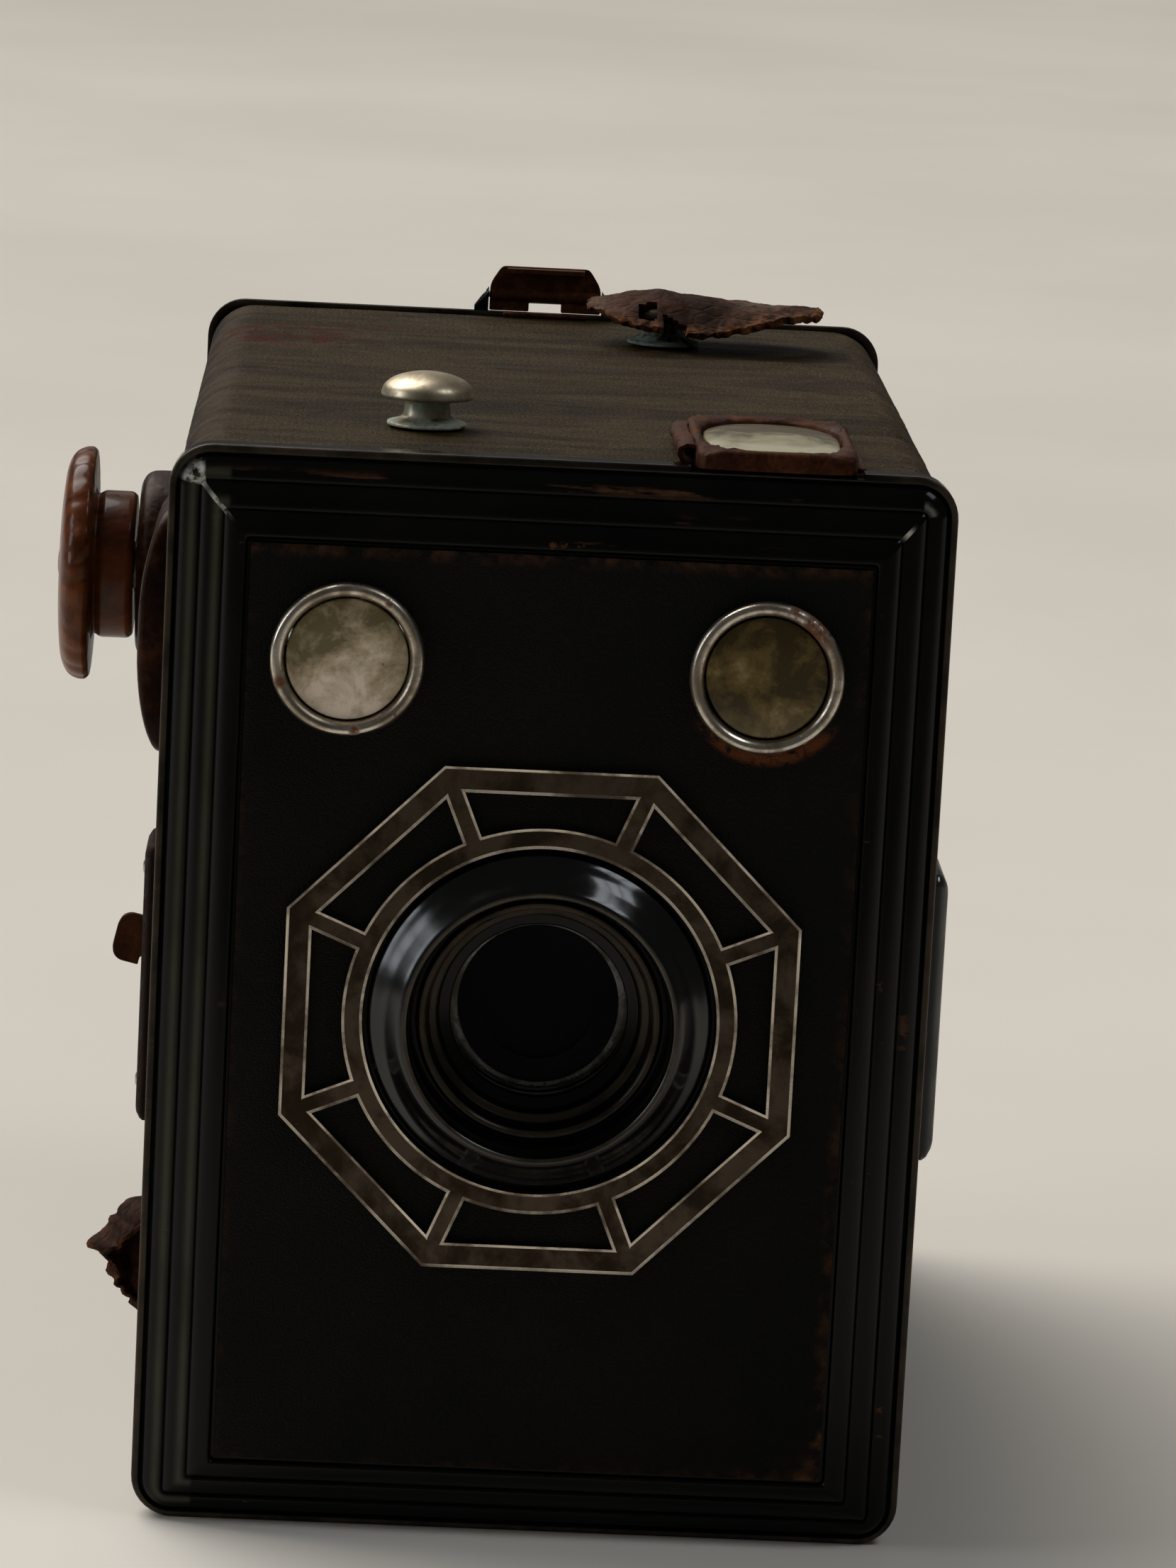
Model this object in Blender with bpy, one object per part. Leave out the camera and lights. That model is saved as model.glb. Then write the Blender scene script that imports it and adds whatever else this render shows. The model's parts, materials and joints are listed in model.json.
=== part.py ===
"""Roll-film box camera, 6 x 9 cm, built as separate pieces.

Frame: +Z up, -Y is the front (lens side), +X is the right-hand side as seen
from the front.  The origin lies on the flat of the bottom tripod plate, under
the middle of the case.  Lengths below are in millimetres.
"""
import math
import bpy
import bmesh

for _ob in list(bpy.data.objects):
    bpy.data.objects.remove(_ob, do_unlink=True)

MM = 0.001

# ---------------------------------------------------------------- dimensions
WIDTH = 79.0            # over the front lip
HEIGHT = 111.5          # over the front lip
Y_LIP = -60.0           # plane of the front lip
Y_REAR = 60.0           # outer face of the rear door
LIP_R = 4.3             # corner radius of the lip
MARGIN_SIDE = 8.4       # moulding width at the sides
MARGIN_TOP = 9.2
MARGIN_BOTTOM = 7.4
PANEL_X = 31.1          # half width of the leathered front panel
PANEL_Z0, PANEL_Z1 = 7.45, 102.3
Y_PLATE = -62.2         # front face of the pressed front plate
Y_PANEL = -62.75        # front face of the panel leatherette
SKIN_T = 0.4            # leatherette thickness
SKIN_X = 39.0           # outer half width of the leathered case
SKIN_Z0, SKIN_Z1 = 0.5, 111.0
SHELL_X = 38.3          # outer half width of the steel shell
SHELL_Z0, SHELL_Z1 = 1.2, 110.3
SHELL_T = 0.9
LENS_Z = 54.7           # height of the lens axis
FINDER_X, FINDER_Z = 21.0, 91.0
BEZEL_R = 7.75
OCT_APOTHEM = 25.95
OCT_STRIP = 2.6
RING_R1, RING_R0 = 20.0, 17.9
SPOKE_W = 2.0
KNOB_Y, KNOB_Z = -24.0, 93.0
KNOB_R = 12.3
BARREL_R = 7.75
COLLAR_R = 10.1
SPOOL_R, SPOOL_CORE_R, SPOOL_HALF = 12.5, 5.2, 32.6
SUPPLY_Z = 17.0
ROLLER_R, ROLLER_Y = 2.6, 50.2
ROLLER_Z_TOP, ROLLER_Z_LOW = 105.3, 5.7
LEVER_PIVOT = (-24.0, 54.7)
LEVER_ANGLE = math.radians(12.5)
SECTOR_PIVOT = (14.0, 66.0)
DOOR_HINGE = (59.6, 1.35)      # y, z of the door's hinge pin
LATCH_HINGE = (59.2, 113.4)    # y, z of the latch pin
STUD_FRONT = (-14.0, -37.7)
STUD_REAR = (13.1, 37.7)

# ----------------------------------------------------------------- materials
_mats = {}


def material(name, rgb, rough, metal=0.0, alpha=1.0):
    if name not in _mats:
        m = bpy.data.materials.new(name)
        m.use_nodes = True
        b = m.node_tree.nodes["Principled BSDF"]
        b.inputs["Base Color"].default_value = (*rgb, 1.0)
        b.inputs["Roughness"].default_value = rough
        b.inputs["Metallic"].default_value = metal
        if alpha < 1.0:
            b.inputs["Alpha"].default_value = alpha
            b.inputs["Transmission Weight"].default_value = 1.0 - alpha
        m.diffuse_color = (*rgb, alpha)
        _mats[name] = m
    return _mats[name]


ENAMEL = material("black_enamel", (0.010, 0.010, 0.011), 0.16)
LEATHERETTE = material("black_leatherette", (0.022, 0.020, 0.018), 0.62)
CASE_SKIN = material("case_leatherette", (0.060, 0.050, 0.038), 0.66)
NICKEL = material("tarnished_nickel", (0.36, 0.30, 0.25), 0.34, 1.0)
BRIGHT = material("nickel_bright", (0.66, 0.62, 0.56), 0.22, 1.0)
STUD = material("stud_nickel", (0.52, 0.46, 0.36), 0.32, 1.0)
STEEL = material("bare_steel", (0.42, 0.40, 0.38), 0.38, 1.0)
BLACKED = material("blackened_steel", (0.018, 0.018, 0.018), 0.55, 0.3)
RUSTED = material("rusted_brown_metal", (0.105, 0.040, 0.022), 0.55, 0.35)
BAKELITE = material("brown_bakelite", (0.085, 0.030, 0.018), 0.24)
GLASS = material("finder_glass", (0.72, 0.74, 0.64), 0.12, 0.0, 0.5)
LENS_GLASS = material("lens_glass", (0.70, 0.74, 0.78), 0.04, 0.0, 0.35)
MIRROR = material("silvered_mirror", (0.80, 0.80, 0.78), 0.08, 1.0)
RUBY = material("ruby_celluloid", (0.45, 0.015, 0.010), 0.20, 0.0, 0.6)
OLD_LEATHER = material("torn_brown_leather", (0.140, 0.058, 0.026), 0.85)
WOOD = material("spool_wood", (0.30, 0.19, 0.10), 0.70)


# ------------------------------------------------------------------- helpers
def make(name, verts, faces, mat, origin=(0.0, 0.0, 0.0), sharp=32.0):
    """Closed mesh object from millimetre points; its origin lies at `origin`."""
    me = bpy.data.meshes.new(name)
    ox, oy, oz = origin
    me.from_pydata([((x - ox) * MM, (y - oy) * MM, (z - oz) * MM)
                    for x, y, z in verts], [], faces)
    bm = bmesh.new()
    bm.from_mesh(me)
    bmesh.ops.recalc_face_normals(bm, faces=bm.faces[:])
    bm.to_mesh(me)
    bm.free()
    me.shade_smooth()
    me.set_sharp_from_angle(angle=math.radians(sharp))
    if mat is not None:
        me.materials.append(mat)
    ob = bpy.data.objects.new(name, me)
    ob.location = (ox * MM, oy * MM, oz * MM)
    bpy.context.scene.collection.objects.link(ob)
    return ob


def box_data(lo, hi):
    x0, y0, z0 = lo
    x1, y1, z1 = hi
    v = [(x0, y0, z0), (x1, y0, z0), (x1, y1, z0), (x0, y1, z0),
         (x0, y0, z1), (x1, y0, z1), (x1, y1, z1), (x0, y1, z1)]
    f = [(0, 3, 2, 1), (4, 5, 6, 7), (0, 1, 5, 4), (1, 2, 6, 5),
         (2, 3, 7, 6), (3, 0, 4, 7)]
    return v, f


def place(axis, u, v, a):
    """Point from two plane coordinates and one along the axis."""
    if axis == "x":
        return (a, u, v)
    if axis == "y":
        return (u, a, v)
    return (u, v, a)


def prism_data(pts, axis, a0, a1):
    n = len(pts)
    v = [place(axis, p[0], p[1], a0) for p in pts]
    v += [place(axis, p[0], p[1], a1) for p in pts]
    f = [tuple(range(n)), tuple(range(2 * n - 1, n - 1, -1))]
    f += [(i, (i + 1) % n, n + (i + 1) % n, n + i) for i in range(n)]
    return v, f


def circle(cu, cv, r, n, start=0.0):
    return [(cu + r * math.cos(start + 2 * math.pi * i / n),
             cv + r * math.sin(start + 2 * math.pi * i / n)) for i in range(n)]


def cyl_data(axis, cu, cv, r, a0, a1, n=20):
    return prism_data(circle(cu, cv, r, n), axis, a0, a1)


def join_data(parts):
    v, f = [], []
    for pv, pf in parts:
        k = len(v)
        v += pv
        f += [tuple(i + k for i in q) for q in pf]
    return v, f


def box(name, lo, hi, mat, bevel=0.0, seg=1, origin=(0, 0, 0)):
    v, f = box_data(lo, hi)
    ob = make(name, v, f, mat, origin)
    if bevel:
        m = ob.modifiers.new("edge_break", "BEVEL")
        m.width = bevel * MM
        m.segments = seg
        m.limit_method = "ANGLE"
    return ob


def prism(name, pts, axis, a0, a1, mat, bevel=0.0, origin=(0, 0, 0)):
    v, f = prism_data(pts, axis, a0, a1)
    ob = make(name, v, f, mat, origin)
    if bevel:
        m = ob.modifiers.new("edge_break", "BEVEL")
        m.width = bevel * MM
        m.segments = 1
        m.limit_method = "ANGLE"
        m.angle_limit = math.radians(50)
    return ob


def turned(name, profile, axis, cu, cv, n, mat, origin=(0, 0, 0), sharp=38.0):
    """Turned piece.  profile = [(radius, position along axis)].  A profile
    that starts and ends on the axis gives a solid; any other is a closed
    section that gives a ring."""
    solid = profile[0][0] == 0.0 and profile[-1][0] == 0.0
    rings = profile[1:-1] if solid else profile
    verts, faces = [], []
    for r, a in rings:
        for i in range(n):
            t = 2 * math.pi * i / n
            verts.append(place(axis, cu + r * math.cos(t), cv + r * math.sin(t), a))
    m = len(rings)
    pairs = [(k, k + 1) for k in range(m - 1)]
    if not solid:
        pairs.append((m - 1, 0))
    for k, l in pairs:
        for i in range(n):
            j = (i + 1) % n
            faces.append((k * n + i, k * n + j, l * n + j, l * n + i))
    if solid:
        for ring, (r, a), rev in ((0, profile[0], True), (m - 1, profile[-1], False)):
            p = len(verts)
            verts.append(place(axis, cu, cv, a))
            for i in range(n):
                j = (i + 1) % n
                faces.append((p, ring * n + j, ring * n + i) if rev
                             else (p, ring * n + i, ring * n + j))
    return make(name, verts, faces, mat, origin, sharp)


def rounded(u0, u1, v0, v1, r, n):
    """Rounded rectangle, n segments to each corner, anticlockwise."""
    pts = []
    for cu, cv, s in ((u1 - r, v1 - r, 0), (u0 + r, v1 - r, 90),
                      (u0 + r, v0 + r, 180), (u1 - r, v0 + r, 270)):
        for i in range(n + 1):
            t = math.radians(s + 90.0 * i / n)
            pts.append((cu + r * math.cos(t), cv + r * math.sin(t)))
    return pts


def oval(cu, cv, hu, hv, e, n):
    """Superellipse with exponent e."""
    pts = []
    for i in range(n):
        t = 2 * math.pi * (i + 0.5) / n
        c, s = math.cos(t), math.sin(t)
        pts.append((cu + hu * math.copysign(abs(c) ** (2 / e), c),
                    cv + hv * math.copysign(abs(s) ** (2 / e), s)))
    return pts


def skinned(name, loops, mat, closed, origin=(0, 0, 0), sharp=32.0):
    """Bridge equal loops of 3-D points; closed joins last to first, otherwise
    both ends are capped."""
    n = len(loops[0])
    verts = [p for lp in loops for p in lp]
    m = len(loops)
    pairs = [(k, k + 1) for k in range(m - 1)]
    if closed:
        pairs.append((m - 1, 0))
    faces = []
    for k, l in pairs:
        for i in range(n):
            j = (i + 1) % n
            faces.append((k * n + i, k * n + j, l * n + j, l * n + i))
    if not closed:
        faces.append(tuple(range(n - 1, -1, -1)))
        faces.append(tuple((m - 1) * n + i for i in range(n)))
    return make(name, verts, faces, mat, origin, sharp)


def at(axis, pts, a):
    return [place(axis, u, v, a) for u, v in pts]


def skin_data(loops):
    """Closed shape between equal loops of points, capped at both ends."""
    n = len(loops[0])
    v = [p for lp in loops for p in lp]
    f = [tuple(range(n - 1, -1, -1)), tuple((len(loops) - 1) * n + i for i in range(n))]
    for k in range(len(loops) - 1):
        f += [(k * n + i, k * n + (i + 1) % n, (k + 1) * n + (i + 1) % n,
               (k + 1) * n + i) for i in range(n)]
    return v, f


_cuts = [0]


def boolean(ob, parts, op="DIFFERENCE"):
    """Boolean with a hidden tool made of closed, separate shapes."""
    _cuts[0] += 1
    v, f = join_data(parts)
    tool = make("tool_%02d" % _cuts[0], v, f, None)
    tool.hide_render = True
    tool.display_type = "WIRE"
    m = ob.modifiers.new("cut_%02d" % _cuts[0], "BOOLEAN")
    m.operation = op
    m.solver = "EXACT"
    m.object = tool
    return ob


def section(t):
    """Rounded rectangle that lies t inside the lip, keeping the moulding's
    different widths at the sides, the top and the bottom."""
    k = t / MARGIN_SIDE
    r = max(0.45, LIP_R - 1.15 * t)
    return rounded(-WIDTH / 2 + t, WIDTH / 2 - t, k * MARGIN_BOTTOM,
                   HEIGHT - k * MARGIN_TOP, r, 3)


# ============================================================ case and front
shell_out = rounded(-SHELL_X, SHELL_X, SHELL_Z0, SHELL_Z1, 4.4, 3)
shell_in = rounded(-SHELL_X + SHELL_T, SHELL_X - SHELL_T, SHELL_Z0 + SHELL_T,
                   SHELL_Z1 - SHELL_T, 3.5, 3)
body_shell = skinned("body_shell", [at("y", shell_out, -58.6), at("y", shell_out, 58.0),
                                    at("y", shell_in, 58.0), at("y", shell_in, -58.6)],
                     BLACKED, True)
boolean(body_shell, [
    cyl_data("x", KNOB_Y, KNOB_Z, 2.95, -40, -36, 16),            # winding shaft
    box_data((-40, -51.3, 47.6), (-36, -49.1, 61.4)),             # release slot
    box_data((-40, -56.0, 83.0), (-36, -41.0, 99.5)),             # side finder
    box_data((14.2, -56.0, 108.5), (27.8, -38.6, 111.5)),         # top finder
    cyl_data("x", -47.0, LENS_Z, 5.3, 36, 40, 20),                # side socket
    cyl_data("z", 0.0, 14.0, 5.3, 0.5, 3.0, 20),                  # base socket
    cyl_data("z", STUD_FRONT[0], STUD_FRONT[1], 1.5, 108.5, 111.5, 10),
    cyl_data("z", STUD_REAR[0], STUD_REAR[1], 1.5, 108.5, 111.5, 10),
])

skin_out = rounded(-SKIN_X, SKIN_X, SKIN_Z0, SKIN_Z1, 5.1, 3)
skin_in = rounded(-SKIN_X + SKIN_T, SKIN_X - SKIN_T, SKIN_Z0 + SKIN_T,
                  SKIN_Z1 - SKIN_T, 4.7, 3)
body_leatherette = skinned("body_leatherette",
                           [at("y", skin_out, -56.8), at("y", skin_out, 57.5),
                            at("y", skin_in, 57.5), at("y", skin_in, -56.8)],
                           CASE_SKIN, True)
boolean(body_leatherette, [
    cyl_data("x", KNOB_Y, KNOB_Z, 3.2, -40, -36, 16),
    box_data((-40, -51.6, 47.2), (-36, -48.8, 61.8)),
    box_data((-40, -56.2, 82.6), (-36, -40.8, 99.9)),
    box_data((14.0, -56.2, 108.5), (28.0, -38.4, 112)),
    cyl_data("x", -47.0, LENS_Z, 5.6, 36, 40, 20),
    box_data((-14.3, -8.3, -0.5), (14.3, 26.3, 3.0)),             # base plate
    box_data((-30.4, 51.6, -0.5), (30.4, 59.0, 3.0)),             # hinge leaf
    cyl_data("z", STUD_FRONT[0], STUD_FRONT[1], 1.8, 108.5, 112, 10),
    cyl_data("z", STUD_REAR[0], STUD_REAR[1], 1.8, 108.5, 112, 10),
])

# Pressed front plate: lip, three rounded steps, raised centre.  f is how far
# the section stands in front of the lip plane.
FRONT_SECTION = [(0.0, -2.8), (0.0, -0.25), (0.25, 0.0), (0.6, 0.0), (0.9, -0.25),
                 (1.35, 0.30), (2.1, 0.80), (2.85, 0.92), (3.15, 0.78),
                 (3.6, 1.30), (4.5, 1.80), (5.3, 1.92), (5.6, 1.78),
                 (6.1, 2.35), (7.0, 2.82), (7.7, 2.85), (8.1, 2.20)]
BACK_SECTION = [(8.0, 1.40), (5.6, 0.90), (3.2, -0.10), (1.4, -0.90), (0.9, -1.10),
                (0.9, -2.8)]
loops = [at("y", section(t), Y_LIP - f) for t, f in reversed(FRONT_SECTION)]
loops += [at("y", section(t), Y_LIP - f) for t, f in reversed(BACK_SECTION)]
front_plate = skinned("front_plate", loops, ENAMEL, False, sharp=40)
boolean(front_plate, [
    cyl_data("y", 0.0, LENS_Z, 12.55, -64, -60, 28),
    cyl_data("y", -FINDER_X, FINDER_Z, 7.05, -64, -60, 24),
    cyl_data("y", FINDER_X, FINDER_Z, 7.05, -64, -60, 24),
    box_data((12.4, -61.0, 110.95), (29.9, -57.0, 113.0)),        # top finder
])

front_panel = prism("front_panel_leatherette",
                    rounded(-PANEL_X, PANEL_X, PANEL_Z0, PANEL_Z1, 0.5, 2),
                    "y", Y_PANEL, Y_PANEL + 0.35, LEATHERETTE)
boolean(front_panel, [
    cyl_data("y", 0.0, LENS_Z, 17.8, -64, -61, 32),
    cyl_data("y", -FINDER_X, FINDER_Z, 7.05, -64, -61, 24),
    cyl_data("y", FINDER_X, FINDER_Z, 7.05, -64, -61, 24),
])

# Octagonal trim: outer strip, inner ring and eight spokes, one stamping.
oct_r = OCT_APOTHEM / math.cos(math.pi / 8)
octagon = [(oct_r * math.cos(math.pi / 8 + k * math.pi / 4),
            LENS_Z + oct_r * math.sin(math.pi / 8 + k * math.pi / 4)) for k in range(8)]
octagon_trim = prism("octagon_trim", octagon, "y", -63.55, -63.05, NICKEL)
windows = [cyl_data("y", 0.0, LENS_Z, RING_R0, -65, -62, 48)]
half = math.pi / 8
for k in range(8):
    a = k * math.pi / 4
    u_out = OCT_APOTHEM - OCT_STRIP
    s = (u_out - 0.5 * SPOKE_W * math.sin(half)) / math.cos(half)
    v_out = s * math.sin(half) - 0.5 * SPOKE_W * math.cos(half)
    lim = math.asin(0.5 * SPOKE_W / RING_R1)
    span = half - lim
    pts = [(RING_R1 * math.cos(-span + 2 * span * i / 6),
            RING_R1 * math.sin(-span + 2 * span * i / 6)) for i in range(7)]
    pts += [(u_out, v_out), (u_out, -v_out)]
    windows.append(prism_data([(u * math.cos(a) - v * math.sin(a),
                                LENS_Z + u * math.sin(a) + v * math.cos(a))
                               for u, v in pts], "y", -65, -62))
boolean(octagon_trim, windows)

# ===================================================================== lens
turned("lens_cone", [(12.9, -62.5), (17.45, -62.5), (17.45, -63.1), (17.0, -63.6),
                     (15.9, -64.5), (14.9, -65.7), (14.3, -66.4), (13.9, -66.65),
                     (13.5, -66.55), (13.3, -66.1), (12.9, -63.6)],
       "y", 0.0, LENS_Z, 28, ENAMEL)
turned("lens_tube", [(12.2, -63.0), (12.2, -54.3), (9.6, -54.3), (9.6, -57.2),
                     (9.0, -57.2), (9.0, -58.3), (10.2, -58.6), (10.4, -60.0),
                     (11.2, -60.4), (11.5, -62.7), (11.8, -63.0)],
       "y", 0.0, LENS_Z, 24, ENAMEL)
turned("lens_element", [(0.0, -57.0), (4.5, -56.9), (7.5, -56.7), (9.3, -56.5),
                        (9.3, -55.3), (7.5, -55.1), (4.0, -55.0), (0.0, -55.0)],
       "y", 0.0, LENS_Z, 20, LENS_GLASS)
turned("lens_retaining_ring", [(8.2, -54.95), (9.3, -54.95), (9.3, -54.4), (8.2, -54.4)],
       "y", 0.0, LENS_Z, 20, BRIGHT)

# =============================================================== shutter
shutter_board = box("shutter_board", (-36.0, -54.0, 4.0), (36.0, -53.2, 80.8), BLACKED)
boolean(shutter_board, [cyl_data("y", 0.0, LENS_Z, 6.0, -55, -52, 20)])
aperture_plate = box("aperture_plate", (-30.0, -47.6, 30.0), (30.0, -47.0, 79.0), BLACKED)
boolean(aperture_plate, [cyl_data("y", 0.0, LENS_Z, 4.6, -49, -46, 20)])

px, pz = LEVER_PIVOT
ca, sa = math.cos(LEVER_ANGLE), math.sin(LEVER_ANGLE)


def lever_pt(s, w):
    """s along the arm outwards from the pivot, w across it (up positive)."""
    return (px - s * ca + w * sa, pz + s * sa + w * ca)


lever_pts = [lever_pt(s, w) for s, w in
             [(1.9, 1.6), (17.0, 1.6), (17.0, 2.55), (19.0, 2.55), (19.7, 2.1),
              (20.0, 1.2), (20.0, -1.2), (19.7, -2.1), (19.0, -2.55), (17.0, -2.55),
              (17.0, -1.6), (1.9, -1.6), (0.6, -3.0), (-1.5, -2.7), (-8.5, -1.0),
              (-9.0, 0.0), (-8.5, 1.0), (-1.5, 2.7), (0.6, 3.0)]]
shutter_lever = prism("shutter_lever", lever_pts, "y", -50.6, -49.8, RUSTED,
                      origin=(px, -50.2, pz))
boolean(shutter_lever, [cyl_data("y", px, pz, 1.3, -52, -48, 14)])
turned("lever_pin", [(0.0, -52.9), (1.0, -52.9), (1.0, -49.5), (1.9, -49.5),
                     (1.9, -49.0), (0.0, -48.9)], "y", px, pz, 12, STEEL)
turned("lever_spring", [(1.4, -52.6), (2.1, -52.6), (2.1, -51.0), (1.4, -51.0)],
       "y", px, pz, 14, STEEL)

qx, qz = SECTOR_PIVOT
aim = math.atan2(LENS_Z - qz, -qx)
blade = [(qx + 24.0 * math.cos(aim + math.radians(a)), qz + 24.0 * math.sin(aim + math.radians(a)))
         for a in range(-34, 47, 8)]
blade += [(qx + 3.2 * math.cos(aim + math.radians(a)), qz + 3.2 * math.sin(aim + math.radians(a)))
          for a in range(80, 281, 40)]
shutter_sector = prism("shutter_sector", blade, "y", -52.7, -52.3, STEEL,
                       origin=(qx, -52.5, qz))
slot = [(qx + r * math.cos(aim + math.radians(a)), qz + r * math.sin(aim + math.radians(a)))
        for r, a in ((12.5, 25), (22.0, 23), (22.0, 32), (22.0, 40), (12.5, 38))]
boolean(shutter_sector, [cyl_data("y", qx, qz, 1.3, -54, -51, 14),
                         prism_data(slot, "y", -54, -51)])
turned("sector_pin", [(0.0, -52.9), (1.0, -52.9), (1.0, -52.0), (1.9, -52.0),
                      (1.9, -51.5), (0.0, -51.4)], "y", qx, qz, 12, STEEL)

slot_plate = skinned("release_slot_plate",
                     [at("x", rounded(-54.5, -44.5, 40.2, 69.3, 1.2, 2), -39.3),
                      at("x", rounded(-54.5, -44.5, 40.2, 69.3, 1.2, 2), -40.0),
                      at("x", rounded(-53.7, -45.3, 41.0, 68.5, 0.8, 2), -40.7)],
                     RUSTED, False)
boolean(slot_plate, [box_data((-42, -51.4, 47.4), (-38, -49.0, 61.6))])

# ================================================================== finders
for side, sx in (("left", -1), ("right", 1)):
    cx = sx * FINDER_X
    turned("finder_bezel_" + side,
           [(6.3, -61.3), (6.75, -61.3), (6.75, -63.1), (BEZEL_R, -63.1),
            (BEZEL_R, -63.7), (7.4, -64.2), (6.9, -64.3), (6.5, -64.0), (6.3, -63.5)],
           "y", cx, FINDER_Z, 20, BRIGHT)
    turned("finder_lens_" + side,
           [(0.0, -63.35), (3.2, -63.2), (5.0, -62.95), (6.0, -62.7), (6.0, -61.9),
            (0.0, -61.9)], "y", cx, FINDER_Z, 18, GLASS)

finder_housing_top = box("finder_housing_top", (12.2, -59.2, 82.2), (29.8, -37.6, 108.9), BLACKED)
boolean(finder_housing_top, [box_data((12.8, -58.6, 82.8), (29.2, -38.2, 110.0))])
boolean(finder_housing_top, [cyl_data("y", FINDER_X, FINDER_Z, 7.05, -60.5, -58.0, 24)])
finder_housing_side = box("finder_housing_side", (-36.9, -59.2, 81.9), (-12.2, -37.6, 100.4), BLACKED)
boolean(finder_housing_side, [box_data((-38.0, -58.6, 82.5), (-12.8, -38.2, 99.8))])
boolean(finder_housing_side, [cyl_data("y", -FINDER_X, FINDER_Z, 7.05, -60.5, -58.0, 24)])
prism("finder_mirror_top", [(-55.8, 83.9), (-55.23, 83.33), (-38.73, 99.83), (-39.3, 100.4)],
      "x", 13.3, 28.7, MIRROR)
prism("finder_mirror_side", [(-13.8, -56.1), (-13.23, -55.53), (-29.93, -38.83), (-30.5, -39.4)],
      "z", 83.0, 99.3, MIRROR)

# Raised window frames: a low rectangular one on top, an arched one at the side.
TOP_WIN = (21.1, -46.8)                     # x, y of the top window
SIDE_WIN = (-48.4, 91.3)                    # y, z of the side window
N_WIN = 24
tx, ty = TOP_WIN
skinned("finder_frame_top",
        [at("z", oval(tx, ty, 8.2, 13.2, 9.0, N_WIN), 111.3),
         at("z", oval(tx, ty, 8.2, 13.2, 9.0, N_WIN), 112.8),
         at("z", oval(tx, ty, 7.8, 12.8, 8.0, N_WIN), 113.2),
         at("z", oval(tx, ty, 6.9, 10.2, 2.8, N_WIN), 113.2),
         at("z", oval(tx, ty, 6.6, 9.8, 2.8, N_WIN), 112.7),
         at("z", oval(tx, ty, 6.6, 9.8, 2.8, N_WIN), 111.3)],
        RUSTED, True, sharp=35)
skinned("finder_glass_top",
        [at("z", oval(tx, ty, 6.3, 9.5, 2.8, N_WIN), 111.9),
         at("z", oval(tx, ty, 6.3, 9.5, 2.8, N_WIN), 112.7)], GLASS, False)

sy, sz = SIDE_WIN


def arch(z):
    """How far the side frame's crown stands off its foot at height z."""
    d = min(1.0, abs(z - sz) / 12.6)
    return 0.45 + 2.5 * (1.0 - d ** 2.2) ** 0.7


def arched(pts, k, drop=0.0):
    return [(-39.3 - max(0.02, k * arch(z) - drop), y, z) for y, z in pts]


skinned("finder_frame_side",
        [at("x", oval(sy, sz, 8.4, 12.6, 5.0, N_WIN), -39.3),
         arched(oval(sy, sz, 8.4, 12.5, 5.0, N_WIN), 0.75),
         arched(oval(sy, sz, 7.8, 11.9, 5.0, N_WIN), 1.0),
         arched(oval(sy, sz, 6.4, 9.6, 2.8, N_WIN), 1.0),
         arched(oval(sy, sz, 6.1, 9.2, 2.8, N_WIN), 1.0, 0.6),
         at("x", oval(sy, sz, 6.1, 9.2, 2.8, N_WIN), -39.3)],
        RUSTED, True, sharp=35)
skinned("finder_glass_side",
        [at("x", oval(sy, sz, 5.8, 8.9, 2.8, N_WIN), -40.4),
         at("x", oval(sy, sz, 5.8, 8.9, 2.8, N_WIN), -39.7)], GLASS, False)

# ============================================================= strap studs
for nm, (ux, uy) in (("strap_stud_front", STUD_FRONT), ("strap_stud_rear", STUD_REAR)):
    turned(nm, [(0.0, 108.5), (2.1, 108.5), (2.1, 109.1), (1.2, 109.1), (1.2, 111.3),
                (4.1, 111.3), (4.1, 111.8), (2.9, 112.3), (2.35, 112.8), (2.35, 114.1),
                (4.85, 114.2), (4.85, 114.8), (3.9, 115.9), (2.2, 116.6), (0.0, 116.85)],
           "z", ux, uy, 14, STUD)

# Torn end of the leather carrying handle, still held by the rear stud.
strap = [(5.0, 33.5), (7.5, 30.4), (12.0, 29.6), (17.0, 30.0), (22.0, 31.2),
         (27.0, 33.6), (31.0, 36.8), (30.0, 41.0), (26.0, 44.4), (19.0, 46.2),
         (11.0, 46.4), (6.5, 43.6), (4.6, 38.6)]
cxs = sum(p[0] for p in strap) / len(strap)
cys = sum(p[1] for p in strap) / len(strap)
strap_in = [(cxs + (x - cxs) * 0.86, cys + (y - cys) * 0.80) for x, y in strap]
remnant = skinned("handle_strap_remnant",
                  [[(x, y, 112.7) for x, y in strap_in],
                   [(x, y, 113.3) for x, y in strap],
                   [(x, y, 116.9 if y < 37 else 115.4) for x, y in strap],
                   [(x, y, 116.4 if y < 37 else 114.9) for x, y in strap_in]],
                  OLD_LEATHER, False, sharp=60)
boolean(remnant, [cyl_data("z", STUD_REAR[0], STUD_REAR[1], 5.3, 111, 119, 16)])

# Lifted corner of the case leatherette, low on the left side.
prism("torn_leatherette_flap",
      [(-39.4, 18.6), (-40.7, 19.2), (-41.6, 21.2), (-43.1, 22.6), (-45.3, 24.6),
       (-43.6, 27.0), (-41.4, 29.6), (-39.4, 30.4)],
      "y", -50.6, -46.6, LEATHERETTE)

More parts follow.
